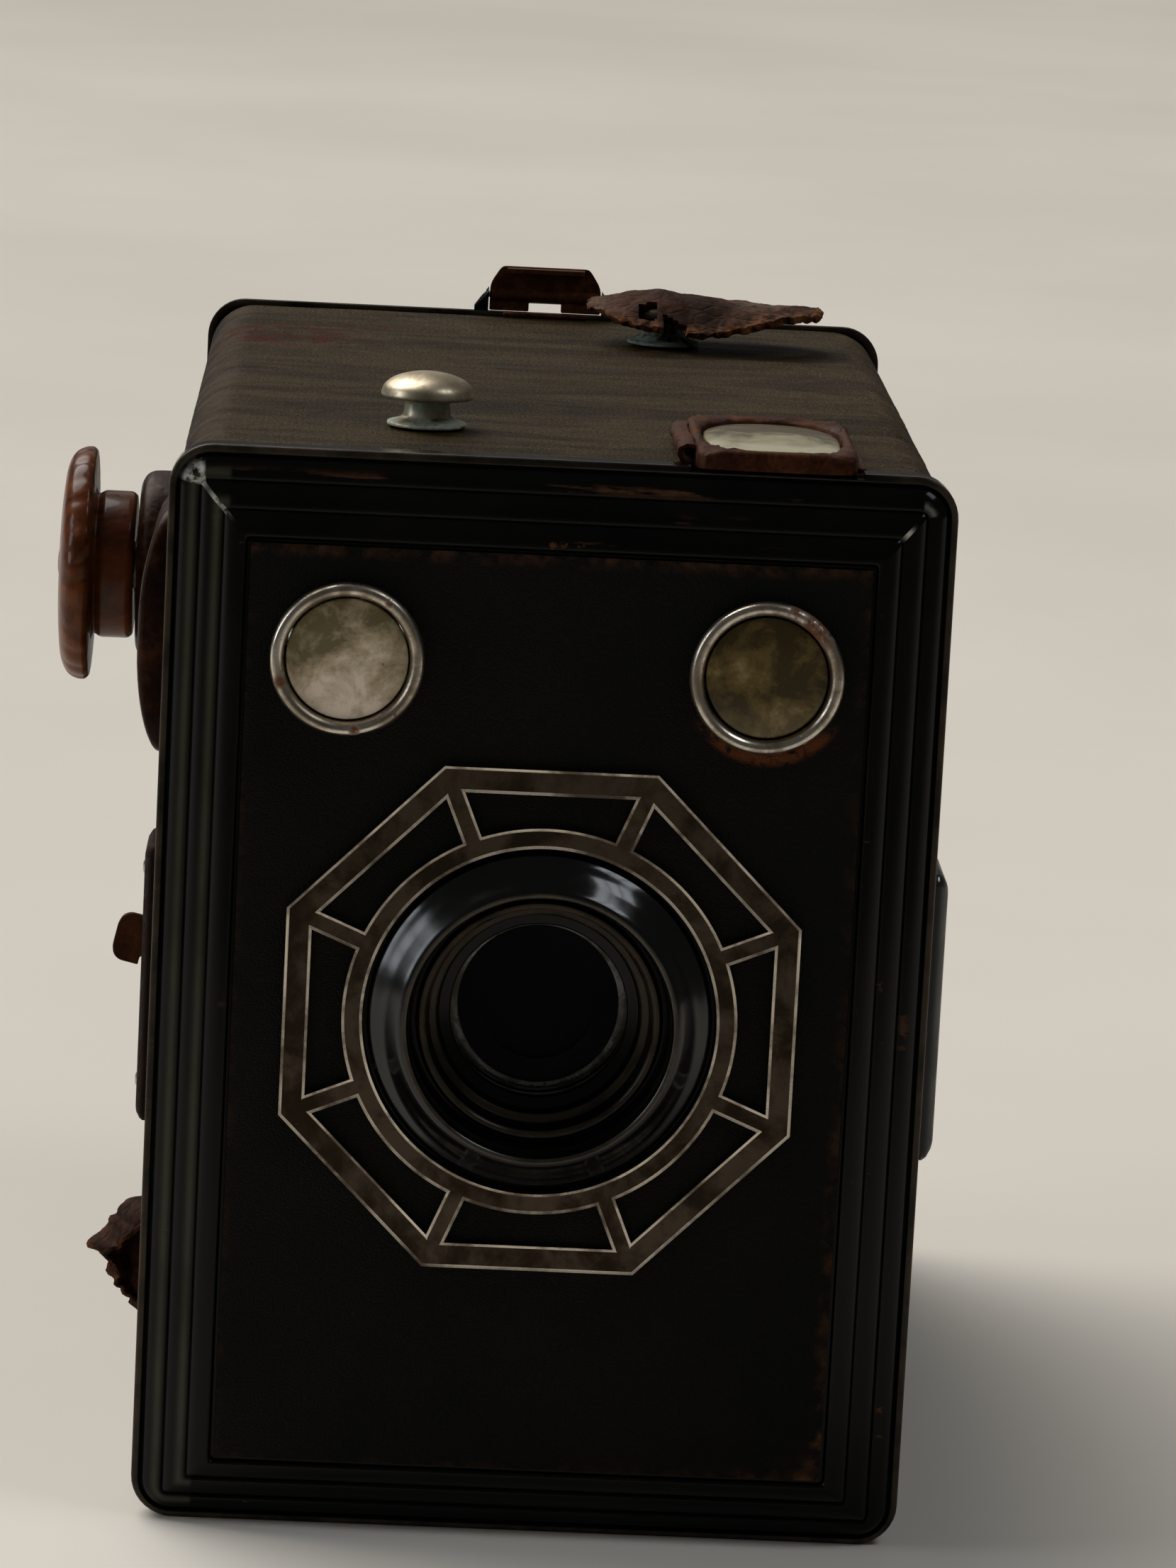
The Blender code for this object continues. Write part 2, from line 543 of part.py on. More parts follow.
# ================================================================ winding
turned("knob_collar", [(2.95, -39.3), (COLLAR_R, -39.3), (COLLAR_R - 0.1, -42.0),
                       (COLLAR_R - 0.5, -43.0), (COLLAR_R - 1.4, -43.5), (6.5, -43.6),
                       (6.4, -42.7), (2.95, -42.7)],
       "x", KNOB_Y, KNOB_Z, 24, RUSTED)
turned("knob_friction_washer", [(2.75, -43.5), (6.0, -43.5), (6.0, -43.05), (2.75, -43.05)],
       "x", KNOB_Y, KNOB_Z, 16, STEEL)
turned("winding_knob", [(2.75, -43.9), (7.3, -43.9), (BARREL_R, -44.3), (BARREL_R, -47.5),
                        (7.3, -48.1), (11.9, -48.3), (KNOB_R, -48.7), (KNOB_R, -49.6),
                        (11.7, -50.6), (10.4, -51.3), (7.5, -51.6), (2.75, -51.65)],
       "x", KNOB_Y, KNOB_Z, 26, BAKELITE, origin=(-47.0, KNOB_Y, KNOB_Z))
turned("winding_shaft", [(0.0, -50.2), (2.45, -50.2), (2.45, -33.0), (1.8, -32.9),
                         (1.8, -29.6), (0.0, -29.3)],
       "x", KNOB_Y, KNOB_Z, 16, STEEL, origin=(-40.0, KNOB_Y, KNOB_Z))
turned("knob_screw", [(0.0, -52.05), (1.4, -51.95), (2.3, -51.6), (2.45, -51.2),
                      (2.45, -50.5), (0.0, -50.5)],
       "x", KNOB_Y, KNOB_Z, 12, BAKELITE, origin=(-51.0, KNOB_Y, KNOB_Z))

SPOOL = [(2.2, -SPOOL_HALF), (SPOOL_R, -SPOOL_HALF), (SPOOL_R, -SPOOL_HALF + 0.8),
         (SPOOL_CORE_R, -SPOOL_HALF + 0.8), (SPOOL_CORE_R, SPOOL_HALF - 0.8),
         (SPOOL_R, SPOOL_HALF - 0.8), (SPOOL_R, SPOOL_HALF), (2.2, SPOOL_HALF)]
turned("take_up_spool", SPOOL, "x", KNOB_Y, KNOB_Z, 16, WOOD, origin=(0, KNOB_Y, KNOB_Z))
turned("supply_spool", SPOOL, "x", KNOB_Y, SUPPLY_Z, 16, WOOD, origin=(0, KNOB_Y, SUPPLY_Z))


def spool_pin(name, side, z):
    """Stub axle from a carrier plate into the end of a spool."""
    k = side
    turned(name, [(0.0, k * 36.6), (2.6, k * 36.6), (2.6, k * 36.1), (1.75, k * 36.1),
                  (1.75, k * 30.0), (0.0, k * 29.7)], "x", KNOB_Y, z, 12, STEEL)


spool_pin("spool_pin_upper_right", 1, KNOB_Z)
spool_pin("spool_pin_lower_right", 1, SUPPLY_Z)
spool_pin("spool_pin_lower_left", -1, SUPPLY_Z)

# ============================================================ film carrier
def rect(hx, hz, zc=55.0, r=0.8):
    return rounded(-hx, hx, zc - hz, zc + hz, r, 1)


skinned("light_cone",
        [at("y", rect(12.0, 14.0), -46.4), at("y", rect(29.8, 44.0), 51.4),
         at("y", rect(34.4, 46.4, 55.4), 51.5), at("y", rect(34.4, 46.4, 55.4), 52.5),
         at("y", rect(28.5, 42.7), 52.5), at("y", rect(11.2, 13.2), -46.4)],
        BLACKED, True)
for side, k in (("left", -1), ("right", 1)):
    lo, hi = sorted((k * 35.0, k * 35.8))
    plate = prism("carrier_plate_" + side,
                  [(-36.0, 6.0), (-34.0, 4.0), (54.0, 4.0), (54.0, 107.4),
                   (-34.0, 107.4), (-36.0, 105.4)],
                  "x", lo, hi, STEEL)
    boolean(plate, [
        cyl_data("x", KNOB_Y, KNOB_Z, 2.95 if k < 0 else 2.05, lo - 1, hi + 1, 14),
        cyl_data("x", KNOB_Y, SUPPLY_Z, 2.05, lo - 1, hi + 1, 14),
        cyl_data("x", ROLLER_Y, ROLLER_Z_TOP, 1.3, lo - 1, hi + 1, 12),
        cyl_data("x", ROLLER_Y, ROLLER_Z_LOW, 1.3, lo - 1, hi + 1, 12)])
for nm, z in (("film_roller_upper", ROLLER_Z_TOP), ("film_roller_lower", ROLLER_Z_LOW)):
    turned(nm, [(0.0, -36.2), (1.0, -36.2), (1.0, -34.6), (ROLLER_R, -34.6),
                (ROLLER_R, 34.6), (1.0, 34.6), (1.0, 36.2), (0.0, 36.2)],
           "x", ROLLER_Y, z, 12, STEEL, origin=(0, ROLLER_Y, z))

# ========================================================== tripod sockets
side_socket = skinned("tripod_socket_side",
                      [at("x", rounded(-54.8, -39.2, 39.6, 69.8, 1.2, 2), 39.3),
                       at("x", rounded(-54.8, -39.2, 39.6, 69.8, 1.2, 2), 40.4),
                       at("x", rounded(-53.6, -40.4, 40.8, 68.6, 0.8, 2), 41.4)],
                      RUSTED, False)
boolean(side_socket, [cyl_data("x", -47.0, LENS_Z, 5.0, 35.6, 40.0, 20)], "UNION")
boolean(side_socket, [cyl_data("x", -47.0, LENS_Z, 4.2, 35.0, 42.5, 16)])
base_socket = box("tripod_socket_base", (-14.0, -8.0, 0.0), (14.0, 26.0, 0.6), BLACKED)
boolean(base_socket, [cyl_data("z", 0.0, 14.0, 5.0, 0.3, 6.5, 20)], "UNION")
boolean(base_socket, [cyl_data("z", 0.0, 14.0, 4.2, -1.0, 8.0, 16)])

# =============================================================== rear door
hy, hz = DOOR_HINGE
DOOR_Z0 = 3.0
d_out = rounded(-WIDTH / 2, WIDTH / 2, DOOR_Z0, HEIGHT, 4.3, 3)
d_in = rounded(-38.7, 38.7, DOOR_Z0 + 0.8, 110.7, 3.6, 3)
rear_door = skinned("rear_door", [at("y", d_in, 58.7), at("y", d_in, 57.9),
                                  at("y", d_out, 57.9), at("y", d_out, 59.3)],
                    ENAMEL, False, origin=(0, hy, hz))
boolean(rear_door, [box_data((-38.65, 57.0, 2.0), (38.65, 58.7, 8.2))])
leaf = [(59.2, 6.5), (58.8, 6.5), (58.8, hz + 0.9)]
leaf += [(hy + 1.25 * math.cos(math.radians(a)), hz + 1.25 * math.sin(math.radians(a)))
         for a in range(150, 436, 26)]
leaf += [(59.2, hz + 1.28)]
boolean(rear_door, [prism_data(leaf, "x", -11.6, 11.6)], "UNION")
ly, lz = LATCH_HINGE
ear = [(58.4, 111.2), (60.0 - 0.75, 111.2), (60.1, 112.6)]
ear += [(ly + 0.9 * math.cos(math.radians(a)), lz + 0.9 * math.sin(math.radians(a)))
        for a in range(0, 181, 30)]
ear_foot = [(y, 111.2 + 0.28 * (z - 111.2)) for y, z in ear]
boolean(rear_door, [skin_data([at("x", ear_foot, -8.4), at("x", ear, -6.75)]),
                    skin_data([at("x", ear_foot, 8.2), at("x", ear, 6.55)])], "UNION")
boolean(rear_door, [cyl_data("x", hy, hz, 0.75, -14, 14, 12),
                    cyl_data("x", ly, lz, 0.52, -9, 9, 10),
                    cyl_data("y", 0.0, 40.0, 6.4, 57, 61, 24)])

door_leatherette = prism("door_leatherette", rounded(-37.6, 37.6, 8.0, 109.6, 3.0, 3),
                         "y", 59.6, 60.0, CASE_SKIN, origin=(0, hy, hz))
boolean(door_leatherette, [cyl_data("y", 0.0, 40.0, 7.6, 58, 62, 24)])
turned("red_window", [(0.0, 58.9), (6.1, 58.9), (6.1, 59.25), (0.0, 59.3)],
       "y", 0.0, 40.0, 20, RUBY, origin=(0, hy, hz))
turned("red_window_ring", [(5.4, 59.6), (7.3, 59.6), (7.3, 60.1), (6.7, 60.5), (5.8, 60.5),
                           (5.4, 60.1)], "y", 0.0, 40.0, 18, BRIGHT, origin=(0, hy, hz))

hinge = [(52.0, 0.3), (58.0, 0.3)]
hinge += [(hy + 1.25 * math.cos(math.radians(a)), hz + 1.25 * math.sin(math.radians(a)))
          for a in range(240, 521, 28)]
hinge += [(58.1, 0.9), (52.0, 0.9)]
door_hinge = prism("door_hinge", hinge, "x", -30.0, 30.0, BLACKED)
boolean(door_hinge, [box_data((-11.9, 58.15, -1.0), (11.9, 62.0, 4.0))])
boolean(door_hinge, [cyl_data("x", hy, hz, 0.75, -31, 31, 12)])
turned("door_hinge_pin", [(0.0, -29.8), (0.5, -29.8), (0.5, 29.8), (0.0, 29.8)],
       "x", hy, hz, 10, STEEL)

# Latch: tab that stands on its hinge barrel, two feet with a gap between, and
# a hook along its upper edge.
tab = [(-6.4, 111.85), (-2.0, 111.85), (-2.0, 112.7), (1.8, 112.7), (1.8, 111.85),
       (6.2, 111.85), (6.2, 114.9), (5.2, 116.5), (4.8, 116.8), (-5.1, 116.8),
       (-5.5, 116.5), (-6.4, 115.1)]
rear_latch = prism("rear_latch", tab, "y", 58.6, 59.2, RUSTED, origin=(0, ly, lz))
boolean(rear_latch, [cyl_data("x", ly, lz, 0.9, -6.35, 6.15, 12)], "UNION")
boolean(rear_latch, [box_data((-4.7, 57.25, 116.2), (4.4, 58.9, 116.7))], "UNION")
boolean(rear_latch, [cyl_data("x", ly, lz, 0.52, -7, 7, 10)])
turned("latch_pin", [(0.0, -7.3), (0.4, -7.3), (0.4, 7.1), (0.0, 7.1)],
       "x", ly, lz, 8, STEEL, origin=(0, ly, lz))
box("latch_catch", (-5.0, 56.6, 111.2), (5.0, 57.4, 111.6), RUSTED)
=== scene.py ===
"""Roll-film box camera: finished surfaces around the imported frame.

Lengths are in millimetres until they reach a mesh.  -Y is the front, +Z is up.
"""
import json
import math
import bpy
import bmesh
import numpy as np
from mathutils import Matrix, Vector, noise


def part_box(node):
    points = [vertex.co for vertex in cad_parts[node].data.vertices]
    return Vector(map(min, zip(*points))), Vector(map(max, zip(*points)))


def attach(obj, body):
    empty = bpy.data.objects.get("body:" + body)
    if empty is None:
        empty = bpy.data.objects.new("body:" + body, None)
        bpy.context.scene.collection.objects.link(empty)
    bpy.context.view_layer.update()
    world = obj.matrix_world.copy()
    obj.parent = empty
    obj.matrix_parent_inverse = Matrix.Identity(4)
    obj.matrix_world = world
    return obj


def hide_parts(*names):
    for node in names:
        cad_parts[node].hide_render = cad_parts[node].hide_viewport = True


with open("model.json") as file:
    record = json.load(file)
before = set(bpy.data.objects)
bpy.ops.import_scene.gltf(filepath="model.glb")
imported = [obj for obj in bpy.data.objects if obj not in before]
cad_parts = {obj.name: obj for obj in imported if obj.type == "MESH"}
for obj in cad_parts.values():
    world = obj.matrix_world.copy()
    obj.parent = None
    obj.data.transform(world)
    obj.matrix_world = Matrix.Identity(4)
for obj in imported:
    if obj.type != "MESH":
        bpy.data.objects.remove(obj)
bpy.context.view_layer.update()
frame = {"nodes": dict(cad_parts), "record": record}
NODES = frame["nodes"]
BODY = {n: b for b, ns in frame["record"]["behaviour"]["bodies"].items() for n in ns}
MM = 0.001
scene = bpy.context.scene


def mm_box(node):
    lo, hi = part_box(node)
    return [c / MM for c in lo], [c / MM for c in hi]


# =================================================================== materials
class Graph:
    """Small wrapper that builds a node material around one Principled shader."""

    def __init__(self, name):
        self.mat = bpy.data.materials.new(name)
        self.mat.use_nodes = True
        self.nt = self.mat.node_tree
        self.bsdf = self.nt.nodes["Principled BSDF"]
        self.pos = self.nt.nodes.new("ShaderNodeTexCoord").outputs["Object"]
        self._xyz = None

    def put(self, socket, value):
        if isinstance(value, bpy.types.NodeSocket):
            self.nt.links.new(value, socket)
        elif value is not None:
            socket.default_value = value

    def set(self, **kw):
        names = {"color": "Base Color", "rough": "Roughness", "metal": "Metallic",
                 "normal": "Normal", "spec": "Specular IOR Level", "ior": "IOR",
                 "trans": "Transmission Weight", "coat": "Coat Weight",
                 "coat_rough": "Coat Roughness", "sheen": "Sheen Weight",
                 "sheen_rough": "Sheen Roughness", "sheen_tint": "Sheen Tint",
                 "alpha": "Alpha"}
        for k, v in kw.items():
            if isinstance(v, tuple) and len(v) == 3:
                v = (*v, 1.0)
            self.put(self.bsdf.inputs[names[k]], v)
        return self.mat

    def at(self, sx, sy=None, sz=None, rot=(0, 0, 0), loc=(0, 0, 0)):
        n = self.nt.nodes.new("ShaderNodeMapping")
        n.inputs["Scale"].default_value = (sx, sx if sy is None else sy, sx if sz is None else sz)
        n.inputs["Rotation"].default_value = rot
        n.inputs["Location"].default_value = loc
        self.nt.links.new(self.pos, n.inputs["Vector"])
        return n.outputs["Vector"]

    def noise(self, scale, detail=5.0, rough=0.55, vec=None, warp=0.0):
        n = self.nt.nodes.new("ShaderNodeTexNoise")
        self.put(n.inputs["Vector"], vec if vec is not None else self.pos)
        n.inputs["Scale"].default_value = scale
        n.inputs["Detail"].default_value = detail
        n.inputs["Roughness"].default_value = rough
        n.inputs["Distortion"].default_value = warp
        return n.outputs[0]

    def cells(self, scale, vec=None, feature="F1", rand=1.0, out="Distance"):
        n = self.nt.nodes.new("ShaderNodeTexVoronoi")
        n.feature = feature
        self.put(n.inputs["Vector"], vec if vec is not None else self.pos)
        n.inputs["Scale"].default_value = scale
        n.inputs["Randomness"].default_value = rand
        return n.outputs[out]

    def span(self, v, a, b, lo=0.0, hi=1.0):
        n = self.nt.nodes.new("ShaderNodeMapRange")
        n.interpolation_type = "SMOOTHSTEP"
        for k, x in (("Value", v), ("From Min", a), ("From Max", b), ("To Min", lo), ("To Max", hi)):
            self.put(n.inputs[k], x)
        return n.outputs["Result"]

    def calc(self, op, a, b=0.0, clamp=False):
        n = self.nt.nodes.new("ShaderNodeMath")
        n.operation = op
        n.use_clamp = clamp
        self.put(n.inputs[0], a)
        self.put(n.inputs[1], b)
        return n.outputs[0]

    def mul(self, *v):
        out = v[0]
        for x in v[1:]:
            out = self.calc("MULTIPLY", out, x)
        return out

    def add(self, *v):
        out = v[0]
        for x in v[1:]:
            out = self.calc("ADD", out, x)
        return out

    def most(self, *v):
        out = v[0]
        for x in v[1:]:
            out = self.calc("MAXIMUM", out, x)
        return out

    def mix(self, fac, a, b):
        n = self.nt.nodes.new("ShaderNodeMix")
        n.data_type = "RGBA"
        self.put(n.inputs[0], fac)
        self.put(n.inputs[6], (*a, 1.0) if isinstance(a, tuple) else a)
        self.put(n.inputs[7], (*b, 1.0) if isinstance(b, tuple) else b)
        return n.outputs[2]

    def ramp(self, fac, stops):
        n = self.nt.nodes.new("ShaderNodeValToRGB")
        e = n.color_ramp.elements
        while len(e) < len(stops):
            e.new(0.5)
        for el, (p, c) in zip(e, stops):
            el.position = p
            el.color = (*c, 1.0)
        self.put(n.inputs[0], fac)
        return n.outputs[0]

    def attr(self, name):
        n = self.nt.nodes.new("ShaderNodeAttribute")
        n.attribute_name = name
        return n.outputs["Fac"]

    def xyz(self, k):
        if self._xyz is None:
            n = self.nt.nodes.new("ShaderNodeSeparateXYZ")
            self.nt.links.new(self.pos, n.inputs[0])
            self._xyz = n
        return self._xyz.outputs[k]

    def near(self, point, inner, outer):
        """1 inside `inner` mm of the point, 0 beyond `outer` mm."""
        n = self.nt.nodes.new("ShaderNodeVectorMath")
        n.operation = "DISTANCE"
        self.put(n.inputs[0], self.pos)
        n.inputs[1].default_value = tuple(c * MM for c in point)
        return self.span(n.outputs["Value"], inner * MM, outer * MM, 1.0, 0.0)

    def bump(self, height, depth_mm, strength=1.0, normal=None):
        n = self.nt.nodes.new("ShaderNodeBump")
        n.inputs["Strength"].default_value = strength
        n.inputs["Distance"].default_value = depth_mm * MM
        self.put(n.inputs["Height"], height)
        if normal is not None:
            self.put(n.inputs["Normal"], normal)
        return n.outputs[0]


def m_enamel(name, wear=1.0, spec=0.12):
    g = Graph(name)
    haze = g.noise(60, 6, 0.6)
    speck = g.noise(900, 4, 0.6)
    orange = g.noise(340, 3, 0.5)
    crown, lip, glint = g.attr("crown"), g.attr("lip"), g.attr("glint")
    streak = g.noise(1.0, 6, 0.62, vec=g.at(34, 420, 260))
    blot = g.noise(130, 6, 0.65)
    high = g.span(g.xyz(2), 0.096, 0.106)
    worn = g.mul(crown, g.span(g.add(streak, g.mul(high, 0.085)), 0.64, 0.685), wear)
    fleck = g.mul(g.span(g.add(blot, g.mul(crown, 0.03)), 0.70, 0.735), 0.9 * wear)
    chip = g.calc("MINIMUM", g.most(worn, fleck), 1.0)
    lipn = g.noise(1.0, 5, 0.6, vec=g.at(150, 500, 150))
    # Lighter grey-brown where the lip attribute is set: partly worn enamel, partly a painted highlight on the rounded
    # plate lip and painted highlight rings in the lens tube.
    lip_wear_and_painted_highlight = g.mul(lip, g.span(lipn, 0.36, 0.62, 0.25, 0.85))
    base = g.mix(g.span(haze, 0.35, 0.75), (0.0018, 0.0018, 0.0016), (0.0048, 0.0044, 0.0034))
    base = g.mix(lip_wear_and_painted_highlight, base, (0.060, 0.044, 0.028))
    base = g.mix(chip, base, g.ramp(speck, [(0.3, (0.030, 0.012, 0.006)), (0.7, (0.105, 0.045, 0.020))]))
    # Painted highlight: the first two ridge crowns on the left side get a lighter green-grey line, standing in for the
    # reflection of the bright surroundings on the left.
    tarnish_and_painted_highlight = g.mul(crown, g.span(g.xyz(0), -0.0336, -0.0331, 1.0, 0.0), g.span(haze, 0.30, 0.60, 0.55, 1.0))
    base = g.mix(tarnish_and_painted_highlight, base, (0.052, 0.053, 0.036))
    # Painted highlight: light grey glints where the glint attribute marks the top mitres.
    painted_glint = g.calc("MINIMUM", g.mul(glint, g.span(g.noise(520, 5, 0.65), 0.36, 0.52)), 1.0)
    base = g.mix(painted_glint, base, (0.62, 0.60, 0.54))
    rough = g.span(haze, 0.3, 0.8, 0.10, 0.23)
    rough = g.add(rough, g.mul(g.span(speck, 0.5, 0.8), 0.05))
    rough = g.add(rough, g.mul(g.most(chip, g.mul(lip_wear_and_painted_highlight, 0.45)), 0.42))
    h = g.add(g.mul(orange, 0.5), g.mul(speck, 0.10), g.mul(chip, -1.6), g.mul(lip_wear_and_painted_highlight, -0.35))
    return g.set(color=base, rough=rough, spec=spec, normal=g.bump(h, 0.022))


def m_panel():
    g = Graph("panel_leatherette")
    grain = g.cells(2300, vec=g.at(1.0, 1.0, 1.25), feature="DISTANCE_TO_EDGE")
    fine = g.noise(5200, 3, 0.6)
    weave = g.noise(1.0, 4, 0.6, vec=g.at(260, 900, 1500))
    patch = g.noise(46, 6, 0.6, warp=0.4)
    scuff = g.noise(1.0, 7, 0.7, vec=g.at(30, 200, 210))
    edge = g.attr("edge")
    base = g.mix(g.span(patch, 0.42, 0.72), (0.0030, 0.0029, 0.0024), (0.0062, 0.0042, 0.0029))
    base = g.mix(g.mul(g.span(scuff, 0.60, 0.76), 0.5), base, (0.012, 0.010, 0.0072))
    frayed = g.mul(edge, g.span(g.noise(420, 5, 0.65), 0.40, 0.62))
    base = g.mix(g.calc("MINIMUM", frayed, 1.0), base,
                 g.ramp(g.noise(800, 3), [(0.35, (0.030, 0.011, 0.0045)), (0.70, (0.110, 0.048, 0.020))]))
    ring = g.mul(g.near((21.3, -62.7, 90.3), 7.9, 8.7), g.span(g.xyz(2), 0.0842, 0.0868, 1.0, 0.0),
                 g.span(g.noise(620, 6, 0.7), 0.38, 0.50))
    base = g.mix(ring, base, (0.120, 0.038, 0.013))
    frayed = g.calc("MAXIMUM", frayed, ring)
    rough = g.add(g.span(patch, 0.3, 0.7, 0.62, 0.50), g.mul(frayed, 0.3))
    h = g.add(g.span(grain, 0.0, 0.22), g.mul(fine, 0.5), g.mul(weave, 0.8), g.mul(frayed, -1.4))
    return g.set(color=base, rough=rough, spec=0.10, normal=g.bump(h, 0.042, 1.0))


def m_case():
    g = Graph("case_leatherette")
    cells = g.cells(1500, vec=g.at(1.0, 1.7, 1.0), feature="DISTANCE_TO_EDGE")
    fine = g.noise(4200, 4, 0.6)
    streak = g.noise(1.0, 8, 0.68, vec=g.at(26, 95, 26), warp=1.3)
    long = g.noise(1.0, 6, 0.62, vec=g.at(14, 210, 14), warp=0.8)
    broad = g.noise(24, 6, 0.6)
    edge = g.attr("edge")
    top = g.span(g.xyz(2), 0.1085, 0.1105)
    base = g.ramp(streak, [(0.32, (0.0110, 0.0063, 0.0018)), (0.46, (0.0290, 0.0174, 0.0050)),
                           (0.58, (0.0510, 0.0318, 0.0094)), (0.70, (0.0210, 0.0112, 0.0030))])
    side = g.ramp(streak, [(0.32, (0.0050, 0.0042, 0.0032)), (0.55, (0.0120, 0.0098, 0.0068)),
                           (0.75, (0.0080, 0.0058, 0.0040))])
    base = g.mix(top, side, base)
    base = g.mix(g.mul(g.span(long, 0.60, 0.72), 0.6), base, (0.010, 0.0075, 0.0055))
    dusty = g.mul(g.span(broad, 0.50, 0.70), 0.35)
    base = g.mix(dusty, base, (0.064, 0.043, 0.017))
    red = g.most(g.mul(g.near((-31, 31, 111), 4, 13), g.span(g.noise(260, 6, 0.7), 0.44, 0.54)),
                 g.mul(g.near((-22, 40, 111), 1, 8), g.span(g.noise(300, 6, 0.7), 0.50, 0.62)),
                 g.mul(g.span(g.noise(70, 7, 0.7, warp=0.6), 0.66, 0.72), 0.8))
    base = g.mix(g.mul(red, 0.92), base, (0.062, 0.0150, 0.0080))
    grain = g.mul(g.span(g.noise(1300, 4, 0.7), 0.46, 0.60), 0.42)
    base = g.mix(grain, base, (0.0085, 0.0065, 0.0042))
    front = g.mul(g.span(g.xyz(1), -0.0556, -0.0530, 1.0, 0.0), g.span(g.noise(300, 5, 0.7), 0.34, 0.48))
    base = g.mix(g.mul(front, 0.9), base, (0.072, 0.0240, 0.0105))
    rub = g.mul(edge, g.span(g.noise(190, 6, 0.68), 0.44, 0.62))
    base = g.mix(g.mul(rub, 0.7), base, (0.070, 0.046, 0.030))
    torn = g.mul(g.near((-39.2, -49.5, 25.0), 4.0, 8.0), g.span(g.noise(330, 6, 0.7), 0.38, 0.50))
    fibre = g.noise(1.0, 4, 0.6, vec=g.at(300, 300, 2600))
    base = g.mix(torn, base, g.ramp(fibre, [(0.35, (0.030, 0.014, 0.007)), (0.65, (0.090, 0.050, 0.027))]))
    red = g.most(red, torn)
    rough = g.add(g.span(streak, 0.3, 0.7, 0.66, 0.54), g.mul(red, 0.2), g.mul(rub, 0.1))
    h = g.add(g.mul(g.span(cells, 0.0, 0.24), 1.6), g.mul(fine, 0.6), g.mul(streak, 3.0), g.mul(long, 1.6),
              g.mul(red, -0.8))
    return g.set(color=base, rough=rough, spec=0.07, normal=g.bump(h, 0.055, 1.0))


def m_metal(name, bright, tarnish_and_painted_highlight, rough_lo, rough_hi, rust=0.15, rust_col=(0.10, 0.042, 0.018),
            size=240, pit=0.012, green=None, shine=1.0, chips=()):
    """Worn plated metal: bright plating, dull tarnish, rust that starts in spots."""
    g = Graph(name)
    tarn = g.noise(size, 7, 0.66, warp=0.3)
    fine = g.noise(size * 7, 4, 0.6)
    scratch = g.noise(1.0, 3, 0.6, vec=g.at(300, 300, 4200, rot=(0.5, 0.3, 0.9)))
    spots = g.noise(size * 1.9, 7, 0.7)
    col = g.mix(g.span(tarn, 0.38, 0.62), tarnish_and_painted_highlight, bright)
    cut = 0.5 + (0.5 - rust) * 0.45
    rusty = g.span(spots, cut, cut + 0.055)
    for cx, cy, cz, r in chips:
        rusty = g.most(rusty, g.mul(g.near((cx, cy, cz), r * 0.5, r * 1.6),
                                    g.span(g.noise(size * 2.6, 5, 0.7), 0.36, 0.48)))
    col = g.mix(rusty, col, g.ramp(fine, [(0.3, tuple(c * 0.45 for c in rust_col)), (0.75, rust_col)]))
    metal = g.span(rusty, 0.0, 1.0, shine, 0.12)
    rough = g.add(g.span(tarn, 0.35, 0.65, rough_hi, rough_lo), g.mul(rusty, 0.35),
                  g.mul(g.span(scratch, 0.6, 0.8), 0.08))
    if green is not None:
        m = g.mul(g.attr("green"), g.span(g.noise(520, 6, 0.65), 0.34, 0.56))
        col = g.mix(m, col, g.ramp(fine, [(0.3, tuple(c * 0.6 for c in green)), (0.7, green)]))
        metal = g.mul(metal, g.span(m, 0.0, 1.0, 1.0, 0.05))
        rough = g.add(rough, g.mul(m, 0.35))
    h = g.add(g.mul(fine, 0.6), g.mul(spots, 0.6), g.mul(rusty, 1.3), g.mul(scratch, 0.25))
    return g.set(color=col, metal=metal, rough=rough, normal=g.bump(h, pit))


def m_rust(name, dark, mid, lit, size=300, rough=(0.42, 0.80), depth=0.05, metal=0.25):
    g = Graph(name)
    a = g.noise(size, 8, 0.68, warp=0.4)
    b = g.noise(size * 5.5, 5, 0.65)
    pits = g.cells(size * 4.0)
    mixd = g.add(g.mul(a, 0.72), g.mul(b, 0.28))
    col = g.ramp(mixd, [(0.34, dark), (0.50, mid), (0.66, lit)])
    r = g.span(mixd, 0.38, 0.62, rough[0], rough[1])
    h = g.add(g.mul(a, 1.2), g.mul(b, 0.8), g.mul(g.span(pits, 0.0, 0.5), 0.5))
    return g.set(color=col, rough=r, metal=metal, spec=0.09, normal=g.bump(h, depth))


def m_bakelite():
    g = Graph("brown_bakelite")
    marble = g.noise(150, 7, 0.62, warp=1.4)
    fine = g.noise(1800, 4, 0.6)
    dust = g.noise(420, 6, 0.7)
    scr = g.noise(1.0, 3, 0.6, vec=g.at(2600, 260, 260, rot=(0.2, 0.5, 0.1)))
    col = g.ramp(marble, [(0.34, (0.042, 0.0096, 0.0023)), (0.50, (0.108, 0.0270, 0.0062)),
                          (0.66, (0.170, 0.0480, 0.0125))])
    col = g.mix(g.mul(g.span(dust, 0.52, 0.70), 0.50), col, (0.150, 0.072, 0.036))
    rough = g.add(g.span(marble, 0.3, 0.7, 0.26, 0.38), g.mul(g.span(dust, 0.5, 0.75), 0.18),
                  g.mul(g.span(scr, 0.62, 0.8), 0.10))
    h = g.add(g.mul(fine, 0.35), g.mul(dust, 0.5), g.mul(scr, 0.3))
    return g.set(color=col, rough=rough, spec=0.12, coat=0.14, coat_rough=0.06,
                 normal=g.bump(h, 0.016))


